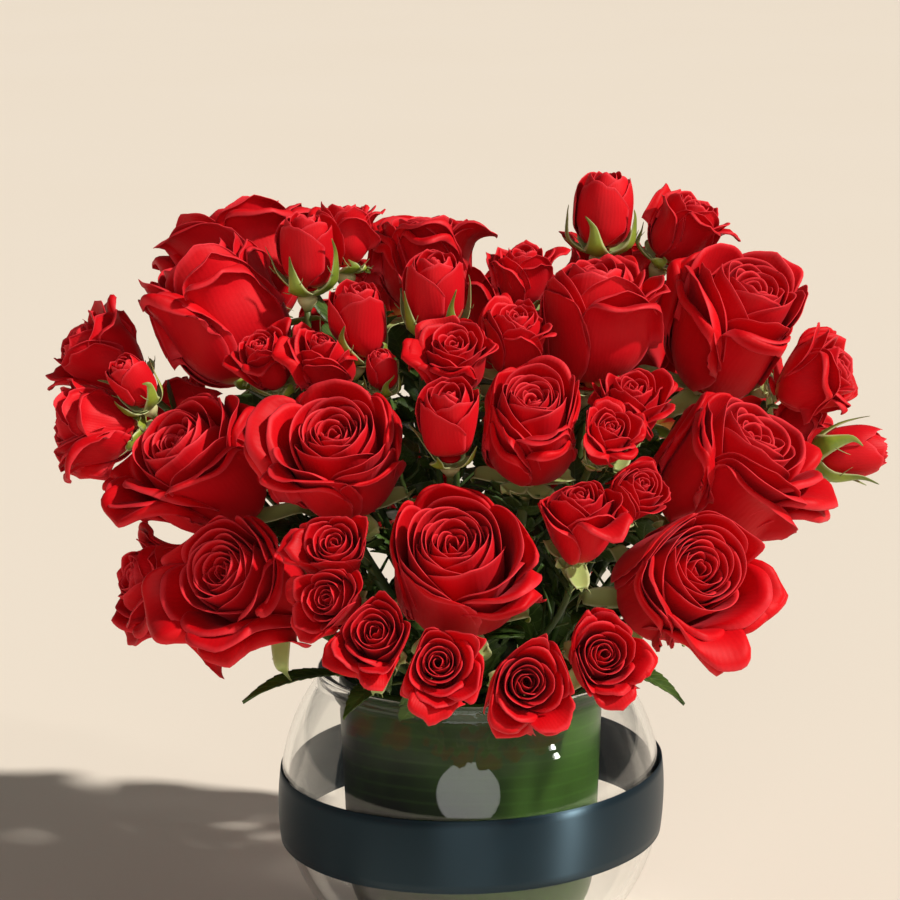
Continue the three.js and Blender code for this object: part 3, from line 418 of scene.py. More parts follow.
class Shape:
    """A mesh in the making: points, faces, and named values for each point."""

    def __init__(self, values=()):
        self.points = []
        self.quads = []
        self.triangles = []
        self.count = 0
        self.values = {name: [] for name in values}

    def add(self, points, quads=(), triangles=(), **values):
        points = np.asarray(points, float).reshape(-1, 3)
        if len(quads):
            self.quads.append(np.asarray(quads, int) + self.count)
        if len(triangles):
            self.triangles.append(np.asarray(triangles, int) + self.count)
        self.points.append(points)
        for name in self.values:
            value = np.broadcast_to(np.asarray(values.get(name, 0.0), float).reshape(-1), (len(points),))
            self.values[name].append(value)
        self.count += len(points)

    def add_shell(self, grid, thickness, u, v, **values):
        """Adds a shell, with its u and v on each of its two faces."""
        points, quads, outer = shell(grid, thickness)
        u, v = np.broadcast_arrays(u, v)
        u, v = np.tile(u.ravel(), 2), np.tile(v.ravel(), 2)
        self.add(points, quads, petal_u=u, petal_v=v, outer_face=outer, **values)

    def to_object(self, name, material):
        points = np.concatenate(self.points) * MM
        faces = [face for part in self.quads + self.triangles for face in part.tolist()]
        mesh = bpy.data.meshes.new(name)
        mesh.from_pydata(points.tolist(), [], faces, shade_flat=False)
        mesh.validate()
        for key, parts in self.values.items():
            attribute = mesh.attributes.new(key, "FLOAT", "POINT")
            attribute.data.foreach_set("value", np.concatenate(parts).astype(np.float32))
        mesh.materials.append(material)
        obj = bpy.data.objects.new(name, mesh)
        bpy.context.scene.collection.objects.link(obj)
        return obj


# ---- Blooms ----
class Bloom:
    """A head: where it stands, how it faces, and the planes at which its neighbours press it."""

    def __init__(self, row, index, kind):
        self.name, at, faces, self.size, self.open, self.bundle = row
        self.size *= SWELL.get(self.name, 1.0)
        self.index = index
        self.kind = kind
        self.axis = unit(faces)
        self.height = self.size * HEAD_HEIGHT * mix(CLOSED_TALLER, 1.0, self.open)
        self.centre = np.array(at, float)
        self.base = self.centre - self.axis * self.height * 0.5
        self.side = unit(np.cross([0, 0, 1], self.axis))
        self.up = np.cross(self.axis, self.side)
        self.stage = "bud" if kind == "small" and self.open < BUD_OPEN else kind
        self.belly = self.size * mix(*BELLY, self.open)
        self.hip = min(HIP[kind], self.size * HIP_MOST)
        self.planes = []

    def reach(self):
        return max(self.size, self.height * 0.5) * REACH

    def round_axis(self, turn):
        """The direction away from the axis, that way round it."""
        return self.side * math.cos(turn) + self.up * math.sin(turn)

    def press(self, points, margin, foot=None):
        """Presses points back from the neighbouring heads, all layers closing up by about the same share.
        What grows from a foot keeps the room round it."""
        flat = points.reshape(-1, 3).copy()
        tight, softening = PRESS_TIGHT
        for _ in range(PRESS_PASSES):
            for normal, offset in self.planes:
                wall = offset - margin
                if foot is not None:
                    wall = max(wall, (foot - self.centre) @ normal + FOOT_ROOM)
                start = min(0.0, wall - PRESS_ROOM * self.reach())
                room = wall - start
                hard = mix(PRESS_HARD, PRESS_SOFT, float(ease((self.reach() / room - tight) / softening)))
                along = (flat - self.centre) @ normal - start
                over = along > 0
                kept = along[over] / (1 + (along[over] / room) ** hard) ** (1 / hard)
                flat[over] += np.outer(kept - along[over], normal)
        return flat.reshape(points.shape)

    def room(self, turn):
        """How far away the nearest neighbour's plane is, that way round the axis, as a share of the size."""
        way = self.round_axis(turn)
        walls = [offset / (normal @ way) for normal, offset in self.planes if normal @ way > SPARE_FACING]
        return min(walls) / self.size if walls else None

    def holds(self, points):
        """Whether any of the points stands among the petals."""
        offset = points.reshape(-1, 3) - self.base
        rise = offset @ self.axis
        out = np.linalg.norm(offset - np.outer(rise, self.axis), axis=1)
        girth = self.size * np.interp(rise / self.height, *HEAD_OUTLINE, left=0.0, right=0.0)
        return bool((out < girth).any())

    def place(self, x, y, h, turn):
        """Bloom coordinates, turned about the axis, to the part's frame."""
        c, s = math.cos(turn), math.sin(turn)
        return (self.base
                + np.multiply.outer(x * c - y * s, self.side)
                + np.multiply.outer(x * s + y * c, self.up)
                + np.multiply.outer(h, self.axis))


def part_neighbours(blooms):
    for bloom in blooms:
        for other in blooms:
            if other is bloom:
                continue
            between = other.centre - bloom.centre
            distance = np.linalg.norm(between)
            if distance > (bloom.reach() + other.reach()) * NEAR:
                continue
            push = bloom.reach() * PUSH.get(bloom.name, 1.0)
            even = distance * push / (push + other.reach() * PUSH.get(other.name, 1.0))
            crossing = (distance ** 2 + bloom.reach() ** 2 - other.reach() ** 2) / (2 * distance)
            offset = mix(even, crossing, CROSSING_SHARE)
            bloom.planes.append((between / distance, offset))


def petal_line(length, foot, lean, curl, steps=48):
    """A petal's middle line from its foot up: v, radius, height and angle from the axis. It leans out to the
    radius of its belly, rises, and curls over its last part."""
    v = np.linspace(0, 1, steps + 1)
    flare_end = min(0.62, max(0.08, foot / (0.68 * length)))
    angle = np.radians(lean + (FLARE - lean) * (1 - ease(v / flare_end)) + curl * ease((v - 0.6) / 0.4))
    r = np.concatenate([[0], np.cumsum(np.sin(angle[:-1])) * length / steps])
    z = np.concatenate([[0], np.cumsum(np.cos(angle[:-1])) * length / steps])
    return v, r, z, angle


def fit_line(foot, lean, rim, height):
    """The length and the curl that bring a petal's tip to the radius rim and to the height."""
    length, curl = height * 1.2, 0.0
    for _ in range(12):
        _, r, z, _ = petal_line(length, foot, lean, curl)
        curl = min(95.0, max(-75.0, curl + math.degrees((rim - r[-1]) / (0.32 * length))))
        length *= mix(1.0, height / z[-1], 0.8)
    return length, curl


def roll_margin(grid, u, v, p):
    """Rolls a petal's margin back along a line beside the rim, and hardly where the next petal covers it."""
    across = np.abs(u)
    free = ease((u + 1.0) / 0.8)
    sides = p["side_roll"] * (0.12 + 0.88 * free) * ease((v - 0.3) / 0.4)
    band = p["band"] * (0.2 + 0.8 * free) * (0.55 + 0.75 * across)
    level = (sides * across ** 3 + v ** 3 + 1e-6) ** (1 / 3) - 1 + band
    step_u, step_v = np.gradient(u, axis=1), np.gradient(v, axis=0)
    du = np.gradient(grid, axis=1) / step_u[..., None]
    dv = np.gradient(grid, axis=0) / step_v[..., None]
    slope_u = np.gradient(level, axis=1) / step_u / np.maximum(np.linalg.norm(du, axis=-1), 1e-3)
    slope_v = np.gradient(level, axis=0) / step_v / np.maximum(np.linalg.norm(dv, axis=-1), 1e-3)
    steep = np.maximum(np.hypot(slope_u, slope_v), 1e-4)
    distance = np.maximum(level, 0) / steep
    toward = (slope_u[..., None] * unit(du) + slope_v[..., None] * unit(dv)) / steep[..., None]
    bend = np.minimum(distance / p["radius"], p["most"])
    rest = distance - bend * p["radius"]
    along = p["radius"] * np.sin(bend) + rest * np.cos(bend) - distance
    out = p["radius"] * (1 - np.cos(bend)) + rest * np.sin(bend)
    return grid + toward * along[..., None] + unit(np.cross(du, dv)) * out[..., None]


def petal_surface(bloom, p, columns, rows):
    """The middle surface of one petal as a grid in the part's frame, with u and v for each point."""
    # The grid is finer towards the rim
    t = np.linspace(0, 1, rows)
    s = np.linspace(-1, 1, columns)
    v_rows = p["start"] + (1 - p["start"]) * (1 - (1 - t) ** 1.5)
    u_columns = np.sign(s) * (1 - (1 - np.abs(s)) ** 1.25)
    u, v = np.meshgrid(u_columns, v_rows)
    across = np.abs(u)
    # The outline: round shoulders, a small point at the tip, and a slightly uneven edge
    top = 1 - 0.05 * across ** 2 - p["shoulder"] * across ** 3.2 + p["point"] * np.exp(-((u / 0.14) ** 2))
    top += p["ragged"] * waves(u, v, p["seed"], EDGE_WAVES) * ease((v - 0.5) / 0.5)
    line_v, line_r, line_z, line_a = petal_line(p["length"], p["foot"], p["lean"], p["curl"])
    w = v * top
    r = np.interp(w, line_v, line_r) + np.maximum(w - 1, 0) * p["length"] * math.sin(line_a[-1])
    z = np.interp(w, line_v, line_z) + np.maximum(w - 1, 0) * p["length"] * math.cos(line_a[-1])
    angle = np.interp(w, line_v, line_a)
    # It wraps round the axis, narrower at its foot, and its corners, its face and one side stand off
    turn = p["reach"] * (0.62 + 0.38 * ease((v - 0.25) / 0.35)) * u
    inward = r * (1 - np.cos(turn))
    corner = ease((across - 0.3) / 0.7) * ease((v - 0.45) / 0.55)
    wave = waves(u, v, p["seed"], FACE_WAVES)
    wave *= p["wave"] * ease((v - 0.4) / 0.6)
    wave += p["rib"] * waves(u, v, p["seed"], RIB_WAVES) * ease((v - 0.25) / 0.5)
    back = p["lift"] * corner + p["over"] * u * ease(v / 0.4) + wave
    x = r - (inward - back * np.cos(turn)) * np.cos(angle)
    y = (r + back * np.cos(angle)) * np.sin(turn)
    h = z + (inward - back) * np.sin(angle)
    grid = roll_margin(np.stack([x, y, h], -1), u, v, p)
    placed = bloom.place(grid[..., 0], grid[..., 1], grid[..., 2], p["turn"])
    return bloom.press(placed, PETAL_MARGIN), u, v


def shape_petal(bloom, level, number):
    """The numbers that shape one petal of a head."""
    count, half_angle, belly, share, rim_height = WHORLS[bloom.stage][level]
    grade = GRADE[bloom.kind]
    cup = share > CUP_SHARE and bloom.stage != "bud"
    outermost = level == 0
    of = {name: pair[0 if cup else 1] for name, pair in PETAL.items()}
    vary = partial(draw, bloom.index * 31 + share * 17 + number)
    wave = CUP_WAVE * share ** 2 if cup else grade["heart_wave"]
    limber = 0.4 + 0.6 * bloom.open  # a closed head's petals stand closer and straighter
    turn = 360 / count * number + bloom.index * 47 + 36 + level * 68 + (2 if outermost else 9) * vary(1)
    turn = math.radians(turn)
    droop = max(0.0, vary(13)) * bloom.open if outermost else 0.0
    lean = of["lean"] * limber
    rim = bloom.size * share * mix(0.7, 1.0, bloom.open) * (1 + of["uneven_rim"] * vary(2) + 0.12 * droop)
    room = bloom.room(turn)
    loose = 1.0
    if cup and room is not None:
        enough, less = CRAMPED
        rim *= 1 + GAP_FILL[level] * min(max(room - 1, 0.0), SPARE_MOST)
        loose = 1 - FLATTEN * min(max((enough - room) / less, 0.0), 1.0)
    height = bloom.height * rim_height * (1 + of["uneven_height"] * vary(3) - 0.2 * droop)
    foot = max(bloom.size * 0.06, bloom.belly * belly)
    length, curl = fit_line(foot, lean, rim, height)
    return {
        "turn": turn,
        "length": length,
        "foot": foot,
        "lean": lean,
        "curl": curl,
        "reach": math.radians(half_angle),
        "over": bloom.size * (OUTER_OVER if outermost else of["over"]),
        "lift": bloom.size * (of["lift"] * bloom.open) * loose,
        "start": OUTER_START if outermost else of["start"],
        "shoulder": of["shoulder"],
        "point": grade["point"] * share * (1 + 0.6 * vary(11)),
        "ragged": grade["ragged"] * (1 + vary(8)),
        "wave": bloom.size * wave * (1 + 0.5 * vary(4)) * loose,
        "rib": bloom.size * of["rib"] * grade["ribs"],
        "seed": 3 * vary(5),
        "band": mix(0.02, of["band"], share) * limber * (1 + 0.6 * vary(6)),
        "side_roll": of["side_roll"] * (share if cup else 1.0) * limber * (1 + 0.35 * vary(10)) * loose,
        "radius": bloom.size * mix(0.03, 0.08, min(share, 1)) * (1 + 0.3 * vary(12)),
        "most": math.radians(mix(60, of["most"], bloom.open) * (1 + 0.15 * vary(7)) * loose),
        "share": share,
        "tone": vary(9),
    }


def bloom_piece(bloom, material):
    shape = Shape(("petal_u", "petal_v", "outer_face", "share", "tone"))
    grade = GRADE[bloom.kind]
    for level, whorl in enumerate(WHORLS[bloom.stage]):
        for number in range(whorl[0]):
            p = shape_petal(bloom, level, number)
            columns, rows = grade["cup_grid" if p["share"] > CUP_SHARE else "heart_grid"]
            grid, u, v = petal_surface(bloom, p, columns, rows)
            rim = np.minimum(1 - np.abs(u), 1 - v)
            thickness = mix(*PETAL_THICKNESS, ease(rim / 0.15)) * grade["thickness"]
            shape.add_shell(grid, thickness, u, v, share=p["share"], tone=p["tone"])
    # The seat that the petals grow from closes the heart at its foot
    seat = bloom.base + np.outer(SEAT_HEIGHTS, bloom.axis)
    tube(shape, seat, np.array(SEAT_RADII) * bloom.hip, 14, bloom.side, petal_v=0.3, share=0.3)
    return shape.to_object(bloom.name + "_petals", material)


# ---- Stems, hips, sepals and leaves ----
def tube(shape, centres, radii, sides, start, **values):
    """A closed tube through centres, whose rings start towards the direction start and don't twist."""
    centres = np.asarray(centres, float)
    radii = np.broadcast_to(np.asarray(radii, float), (len(centres),))
    _, side, up = across_line(centres, start)
    a = np.linspace(0, 2 * math.pi, sides, endpoint=False)
    ring = (centres[:, None] + radii[:, None, None]
            * (side[:, None] * np.cos(a)[None, :, None] + up[:, None] * np.sin(a)[None, :, None]))
    for key, value in values.items():
        if np.ndim(value):
            values[key] = np.concatenate([np.repeat(value, sides), value[:1], value[-1:]])
    points = np.concatenate([ring.reshape(-1, 3), centres[:1], centres[-1:]])
    shape.add(points, ring_quads(len(centres), sides), end_fans(len(centres), sides), **values)


def bezier(a, b, c, t):
    t = t[:, None]
    return (1 - t) ** 2 * a + 2 * t * (1 - t) * b + t ** 2 * c


def spine(points, steps):
    """A smooth line through a few points."""
    points = np.asarray(points, float)
    out = []
    for x in np.linspace(0, len(points) - 1, steps):
        i = min(int(x), len(points) - 2)
        f = x - i
        p0 = points[max(i - 1, 0)]
        p1, p2 = points[i], points[i + 1]
        p3 = points[min(i + 2, len(points) - 1)]
        out.append(0.5 * (2 * p1 + (p2 - p0) * f + (2 * p0 - 5 * p1 + 4 * p2 - p3) * f ** 2
                          + (3 * p1 - p0 - 3 * p2 + p3) * f ** 3))
    return np.array(out)


def stem_root(bundle, place):
    """Where a stem to that place leaves the trunk of its bundle."""
    x, y = BUNDLES[bundle]
    root = np.array([x, y, KNOT_Z], float)
    heading = unit(place - root)
    return root + np.array([2.6 * heading[0], 2.6 * heading[1], 4 * heading[2] - 3])


def grow_sepal(shape, bloom, number):
    a = 2 * math.pi * number / SEPALS + bloom.index
    out = bloom.round_axis(a)
    across = np.cross(bloom.axis, out)
    vary = partial(draw, bloom.index * 13 + number)
    length = bloom.size * mix(*SEPAL_LENGTH, bloom.open) * (1 + 0.2 * vary(20))
    half = bloom.hip * mix(*SEPAL_HALF_WIDTH, bloom.open)
    lift = mix(*SEPAL_LIFT, float(ease((bloom.open - 0.2) / 0.5))) + 0.15 * vary(30)
    root = bloom.base - bloom.axis * 3.4

    def at(along, rise, sideways=0.0):
        return root + out * along + bloom.axis * rise + across * sideways

    waist = bloom.belly + 1.9
    tip = bloom.size * mix(*SEPAL_TIP, bloom.open) + 1
    line = spine([
        at(bloom.hip * 0.62, 0.6),
        at(mix(bloom.hip, waist, 0.45), lift * length * 0.1 - 0.4),
        at(waist, lift * length * 0.3),
        at(mix(waist, tip, 0.45), lift * length * 0.7, 3 * vary(21)),
        at(tip * (1 + 0.15 * vary(22)), lift * length * (0.95 + 0.15 * vary(22)), 7 * vary(23)),
    ], SEPAL_STEPS)
    line = bloom.press(line, 0.75, root)
    t = np.linspace(0, 1, SEPAL_STEPS)
    width = half * np.interp(t, *np.transpose(SEPAL_WIDTHS))
    tangent, wide, over = across_line(line, across)
    u = np.array(SEPAL_COLUMNS)
    grid = blade(line, wide, over, width, u, width[:, None] * (0.28 * np.abs(u) ** 1.6))
    thickness = SEPAL_THICKNESS * (1 - 0.6 * t)
    shape.add_shell(grid, thickness[:, None], u, t[:, None], kind=SEPAL_KIND, tone=vary(24))
    for sign in (-1, 1):
        for where in SEPAL_LOBES:
            if vary(25 + sign + 10 * where) < 0.3:
                continue
            i = int(where * (SEPAL_STEPS - 1))
            foot = line[i] + wide[i] * sign * width[i] * 0.8
            heading = wide[i] * sign * 0.8 + tangent[i] - over[i] * 0.3 * vary(27)
            end = foot + heading * (2.2 + 0.9 * vary(28)) * half / 3
            lobe = spine([foot, mix(foot, end, 0.5) + wide[i] * sign * 0.3, end], len(LOBE_RADII))
            tube(shape, lobe, LOBE_RADII, 5, bloom.axis, kind=SEPAL_KIND, petal_u=0.9, petal_v=0.8,
                 outer_face=1.0, tone=vary(29))


def grow_thorn(shape, bloom, path, radius, k):
    i = int((0.3 + 0.2 * k + 0.05 * draw(bloom.index, 40 + k)) * (len(path) - 1))
    heading = unit(path[i + 1] - path[i])
    a = bloom.index * 2.4 + k * 2.1
    side = unit(bloom.side - heading * (heading @ bloom.side))
    out = side * math.cos(a) + np.cross(heading, side) * math.sin(a)
    foot = path[i] + out * radius * THORN_FOOT
    tube(shape, [foot + out * away + heading * along for away, along in THORN], THORN_RADII, 6, heading,
         kind=STEM_KIND, petal_v=1.4, tone=0.8)


def grow_stem(shape, bloom, heads):
    hip = bloom.hip
    radius = min(STEM[bloom.kind], hip * 0.6)
    top = bloom.base - bloom.axis * 2.2
    hip_foot = top - bloom.axis * 2 * hip
    root = stem_root(bloom.bundle, hip_foot)
    bend_in = hip_foot - bloom.axis * 0.35 * np.linalg.norm(root - hip_foot)
    t = np.linspace(0, 1, 26)
    path = bezier(root, bend_in, hip_foot, t)
    wobble = 0.05 * np.sin(t * 9 + bloom.index) + 0.03 * np.sin(t * 23 + 2 * bloom.index)
    tube(shape, path, radius * (1 + wobble), 10, bloom.side, kind=STEM_KIND, petal_v=t,
         tone=draw(bloom.index, 3))
    # The hip swells below the collar, narrows at it, and spreads into the sepals
    rise, girth = np.transpose(HIP_SHAPE)
    centres = top + np.outer(rise * hip, bloom.axis)
    tube(shape, centres, np.maximum(girth * hip, radius), 14, bloom.side, kind=HIP_KIND,
         petal_v=np.linspace(0, 1, len(rise)), tone=draw(bloom.index, 4))
    for number in range(SEPALS):
        grow_sepal(shape, bloom, number)
    grow_foliage(shape, bloom, path, heads)
    for k in range(THORNS[bloom.kind]):
        grow_thorn(shape, bloom, path, radius, k)


def leaf_blade(shape, line, across, width, teeth, columns, seed, bloom=None, heads=()):
    """A toothed leaflet along a line of points, troughed along its rib, with its quilting between the veins.
    It isn't grown, and the answer is False, where it would stand among the petals of one of the heads."""
    v = np.linspace(0, 1, len(line))
    saw = (v * teeth) % 1.0
    half = (width / 2) * np.maximum(np.sin(math.pi * (0.06 + 0.94 * v) ** 0.85), 0.02) * (0.9 + 0.16 * saw)
    half[-1] = 0.05
    u = np.linspace(-1, 1, columns)
    _, wide, over = across_line(line, across)
    over *= np.sign(over[:, 2:3] - 1e-6)
    quilt = np.sin(v[:, None] * teeth * math.pi * 2 - np.abs(u) * 5) * (1 - np.abs(u)) * np.abs(u)
    rise = LEAF_TROUGH * width / 18 * np.abs(u) + quilt * half[:, None] * 0.12
    grid = blade(line, wide, over, half, u, rise)
    if bloom is not None:
        grid = bloom.press(grid, LEAF_MARGIN)
    if any(head.holds(grid) for head in heads):
        return False
    shape.add_shell(grid, LEAF_THICKNESS, u, v[:, None], kind=LEAF_KIND, tone=draw(seed, 50))
    return True


def grow_leaf(shape, bundle, start, end, width, seed):
    """A leaflet of the placement table, on its own stalk from the bundle."""
    start = np.array(start, float)
    along = np.array(end, float) - start
    v = np.linspace(0, 1, 61)
    line = start + np.outer(v, along)
    line[:, 2] += LEAF_ARCH * np.sin(math.pi * v * 0.9)
    leaf_blade(shape, line, unit(np.cross(along, Z)), width, 11, 13, seed)
    root = stem_root(bundle, start)
    t = np.linspace(0, 1, 14)
    stalk = bezier(root, mix(root, start, 0.6) + 6 * Z, line[6], t)
    tube(shape, stalk, mix(1.3, 0.7, t), 8, Z, kind=STEM_KIND, petal_v=t, tone=0.2)


def grow_foliage(shape, bloom, path, heads):
    """Compound leaves on a stem, below its bloom: a stalk with leaflets in pairs and one at the end."""
    places, full_size = FOLIAGE[bloom.kind]
    for k, place in enumerate(places):
        vary = partial(draw, bloom.index * 7 + k)
        foot = path[int((place + 0.04 * vary(61)) * (len(path) - 1))]
        outward = unit(np.array([foot[0], foot[1], 0.0]) + np.array([1e-3, 0, 0]))
        sideways = np.cross(Z, outward)
        swing = math.radians(75 * vary(62) + (180 if k in (1, 2) else 0))  # two of them fill the middle
        heading = outward * math.cos(swing) + sideways * math.sin(swing) + (0.7 + 0.5 * vary(63)) * Z
        heading = unit(heading)
        across = unit(np.cross(heading, Z))
        size = full_size * (1 + 0.15 * vary(64))
        t = np.linspace(0, 1, 6)
        stalk_end = foot + heading * size * LEAFLET_STALK
        stalk = foot + np.outer(t, stalk_end - foot)
        stalk[:, 2] += 2 * np.sin(math.pi * t)
        stalk = bloom.press(stalk, LEAF_MARGIN, foot)
        if any(head.holds(stalk) for head in heads):
            continue
        tube(shape, stalk, mix(0.9, 0.5, t), 6, Z, kind=STEM_KIND, petal_v=t, tone=vary(65))
        for n, (at, turn) in enumerate(LEAFLETS):
            a = math.radians(turn + 8 * vary(66 + n))
            way = unit(heading * math.cos(a) + across * math.sin(a))
            wide = unit(np.cross(way, Z))
            for shrink in LEAFLET_SHRINKS:
                length = shrink * size * (1.0 if n == 0 else SIDE_LEAFLET)
                v = np.linspace(0, 1, 25)
                line = stalk[at] + np.outer(v * length, way)
                line[:, 2] += length * (0.1 * np.sin(math.pi * v) - 0.12 * v ** 2 * (1 + vary(69 + n)))
                width = length * LEAFLET_WIDTH
                if leaf_blade(shape, line, wide, width, 8, 5, bloom.index + n, bloom, heads):
                    break


def grow_collar(shape, bundle):
    """Upright leaflets round the knot of a bundle."""
    x, y = BUNDLES[bundle]
    for k in range(COLLAR_LEAVES):
        vary = partial(draw, x + 3 * y + k)
        a = 2 * math.pi * (k + 0.3 * vary(81)) / COLLAR_LEAVES
        out = np.array([math.cos(a), math.sin(a), 0.0])
        foot = np.array([x, y, KNOT_Z + 3.0]) + out * 8
        tip = foot + out * (20 + 6 * vary(82)) + (COLLAR_RISE + 10 * vary(83)) * Z
        v = np.linspace(0, 1, 41)
        line = mix(foot, tip, v[:, None])
        line += out * (5 * v ** 2)[:, None] - 6 * Z * (v ** 3)[:, None]
        leaf_blade(shape, line, np.cross(out, Z), COLLAR_WIDTH + 4 * vary(84), 9, 9, k + x)


def bundle_piece(bundle, blooms, material):
    shape = Shape(("kind", "petal_u", "petal_v", "outer_face", "tone"))
    x, y = BUNDLES[bundle]
    heights = [HOLE_BOTTOM + 1, KNOT_Z - 6, KNOT_Z + 4]
    tube(shape, [(x, y, z) for z in heights], [TRUNK_RADIUS * 0.8, TRUNK_RADIUS, TRUNK_RADIUS * 0.8], 12,
         np.array([1.0, 0, 0]), kind=STEM_KIND, petal_v=0.5, tone=0)
    for bloom in blooms:
        if bloom.bundle == bundle:
            grow_stem(shape, bloom, blooms)
    grow_collar(shape, bundle)
    for seed, (name, start, end, width) in enumerate(LEAVES):
        if name == bundle:
            grow_leaf(shape, bundle, start, end, width, seed)
    return shape.to_object("greens_" + bundle, material)


# ---- The vase ----
def sphere_radius(z, radius):
    return float(np.sqrt(radius * radius - (z - BOWL_CENTRE_Z) ** 2))


def arc(middle, radius, start, end, steps):
    """Points of a profile on an arc, between two angles in degrees."""
    return [(middle[0] + radius * math.cos(a), middle[1] + radius * math.sin(a))
            for a in np.radians(np.linspace(start, end, steps))]


def lathe(profile, sides):
    """A shape turned from a profile of (radius, height) that starts and ends on the axis."""
    profile = np.asarray(profile, float)
    body = profile[1:-1]
    a = np.linspace(0, 2 * math.pi, sides, endpoint=False)
    points = np.stack([np.multiply.outer(body[:, 0], np.cos(a)), np.multiply.outer(body[:, 0], np.sin(a)),
                       np.repeat(body[:, 1:2], sides, 1)], -1).reshape(-1, 3)
    ends = [[0, 0, profile[0, 1]], [0, 0, profile[-1, 1]]]
    shape = Shape()
    shape.add(np.concatenate([points, ends]), ring_quads(len(body), sides), end_fans(len(body), sides))
    return shape


def bowl_piece(material):
    inner_radius = BOWL_RADIUS - BOWL_WALL
    fillet_width, fillet_height = FILLET
    fillet_top = BOWL_FLOOR + fillet_height
    foot = sphere_radius(0, BOWL_RADIUS) - FOOT_INSET
    neck = BOWL_RIM_Z - LIP_RADIUS
    profile = [(0, FOOT_HOLLOW), (foot - FOOT_RING[0], FOOT_HOLLOW), (foot - FOOT_RING[1], 0)]
    profile += arc((foot - HEEL_INSET, HEEL_RADIUS), HEEL_RADIUS, -90, -40, 6)
    profile += [(sphere_radius(z, BOWL_RADIUS), z) for z in np.linspace(WALL_START_Z, neck, 60)]
    profile += arc((sphere_radius(BOWL_RIM_Z, BOWL_RADIUS) + LIP_OUT, BOWL_RIM_Z), LIP_RADIUS, -30, 190, 14)
    profile += [(sphere_radius(z, inner_radius), z) for z in np.linspace(neck - 3, fillet_top, 56)]
    edge = sphere_radius(fillet_top, inner_radius)
    for t in np.linspace(0.15, 1, 8):
        profile.append((edge - fillet_width * t, BOWL_FLOOR + fillet_height * (1 - t) ** 2))
    profile.append((0, BOWL_FLOOR))
    return lathe(profile, 160).to_object("fish_bowl", material)


def rolled_piece(name, material, turn, section):
    """A strip rolled about the Z axis. section(lapped, angle) gives its outline as radius and height, along
    one face and back along the other. lapped grows from 0 to 1 where the strip meets its own start."""
    sides, lap, step, start = turn
    rings = []
    for i in range(sides + lap + 1):
        angle = math.radians(start + 360 * i / sides)
        lapped = float(ease((i - sides + step) / step))
        ring = np.array(section(lapped, angle), float)
        rings.append(np.stack([ring[:, 0] * math.cos(angle), ring[:, 0] * math.sin(angle), ring[:, 1]], 1))
    n, m = np.shape(rings)[:2]
    low = np.arange(m // 2 - 1)
    first = np.stack([low, m - 1 - low, m - 2 - low, low + 1], 1)  # each end is closed rung by rung
    last = first[:, ::-1] + (n - 1) * m
    shape = Shape()
    shape.add(rings, np.concatenate([ring_quads(n, m), first, last]))
    return shape.to_object(name, material)


def two_faces(one, other, height):
    """The outline of a strip, along one face and back along the other."""
    return np.concatenate([np.stack([one, height], 1), np.stack([other, height], 1)[::-1]])


def grown(z, wave):
    """The height of a wave that starts at a height and grows to its full one over a stretch."""
    full, start, stretch = wave
    return full * np.clip((z - start) / stretch, 0, 1)


def liner_piece(material):
    heights, radii = np.transpose(LINER_SHAPE)
    z = np.linspace(heights[0], heights[-1], 34)
    r = np.interp(z, heights, radii)
    for _ in range(6):  # the leaf bends smoothly where the solid has corners
        r[1:-1] = (r[:-2] + 2 * r[1:-1] + r[2:]) / 4

    def section(lapped, angle):
        height = z + math.sin(3 * angle + 1) * grown(z, LINER_WAVE)
        outer = r + LINER_STEP * lapped + np.sin(5 * angle + z * 0.03) * grown(z, LINER_BULGE) - LINER_INSET
        return two_faces(outer[::-1], (outer - LINER_THICKNESS)[::-1], height[::-1])

    return rolled_piece("leaf_liner_leaf", material, LINER_TURN, section)


def ribbon_piece(material):
    across = np.linspace(-1, 1, 9)

    def section(lapped, angle):
        radius = BOWL_RADIUS / math.cos(math.pi / SOLID_SIDES) + RIBBON_GAP
        radius += lapped * (RIBBON_THICKNESS + RIBBON_GAP)
        height = RIBBON_Z + RIBBON_RISE * radius * math.cos(angle) + across * RIBBON_WIDTH / 2
        ripple = RIBBON_RIPPLE * np.sin(7 * angle + 2.2 * across) * (1 - lapped)
        inner = radius - RIBBON_CROWN * across ** 2 + ripple
        return two_faces(inner, inner + RIBBON_THICKNESS, height)

    return rolled_piece("satin_ribbon", material, RIBBON_TURN, section)


def foam_piece(material):
    heights, radii = np.transpose(LINER_SHAPE)
    foot = heights[0] + FOAM_LIFT
    profile = [(0, foot)]
    profile += [(np.interp(z, heights, radii) - FOAM_GAP, z) for z in np.linspace(foot, FOAM_TOP, 16)]
    edge = profile[-1][0]
    for t in np.linspace(0.1, 0.95, 8):
        profile.append((edge * (1 - t), FOAM_TOP + FOAM_DOME * math.sin(t * math.pi / 2)))
    profile.append((0, FOAM_TOP + FOAM_DOME))
    obj = lathe(profile, 64).to_object("floral_foam_block", material)
    for x, y in BUNDLES.values():
        middle = np.array([x, y, HOLE_BOTTOM + HOLE_DEPTH / 2]) * MM
        bpy.ops.mesh.primitive_cylinder_add(vertices=20, radius=HOLE_RADIUS * MM, depth=HOLE_DEPTH * MM,
                                            location=middle)
        cutter = bpy.context.object
        cut = obj.modifiers.new("hole", "BOOLEAN")
        cut.operation = "DIFFERENCE"
        cut.solver = "EXACT"
        cut.object = cutter
        bpy.context.view_layer.objects.active = obj
        bpy.ops.object.modifier_apply(modifier=cut.name)
        bpy.data.objects.remove(cutter)
    return obj


# ---- Materials ----
def srgb(name):
    def linear(c):
        c /= 255
        return c / 12.92 if c <= 0.04045 else ((c + 0.055) / 1.055) ** 2.4
    return (*map(linear, COLOURS[name]), 1.0)


def grey(level):
    return (level, level, level, 1)


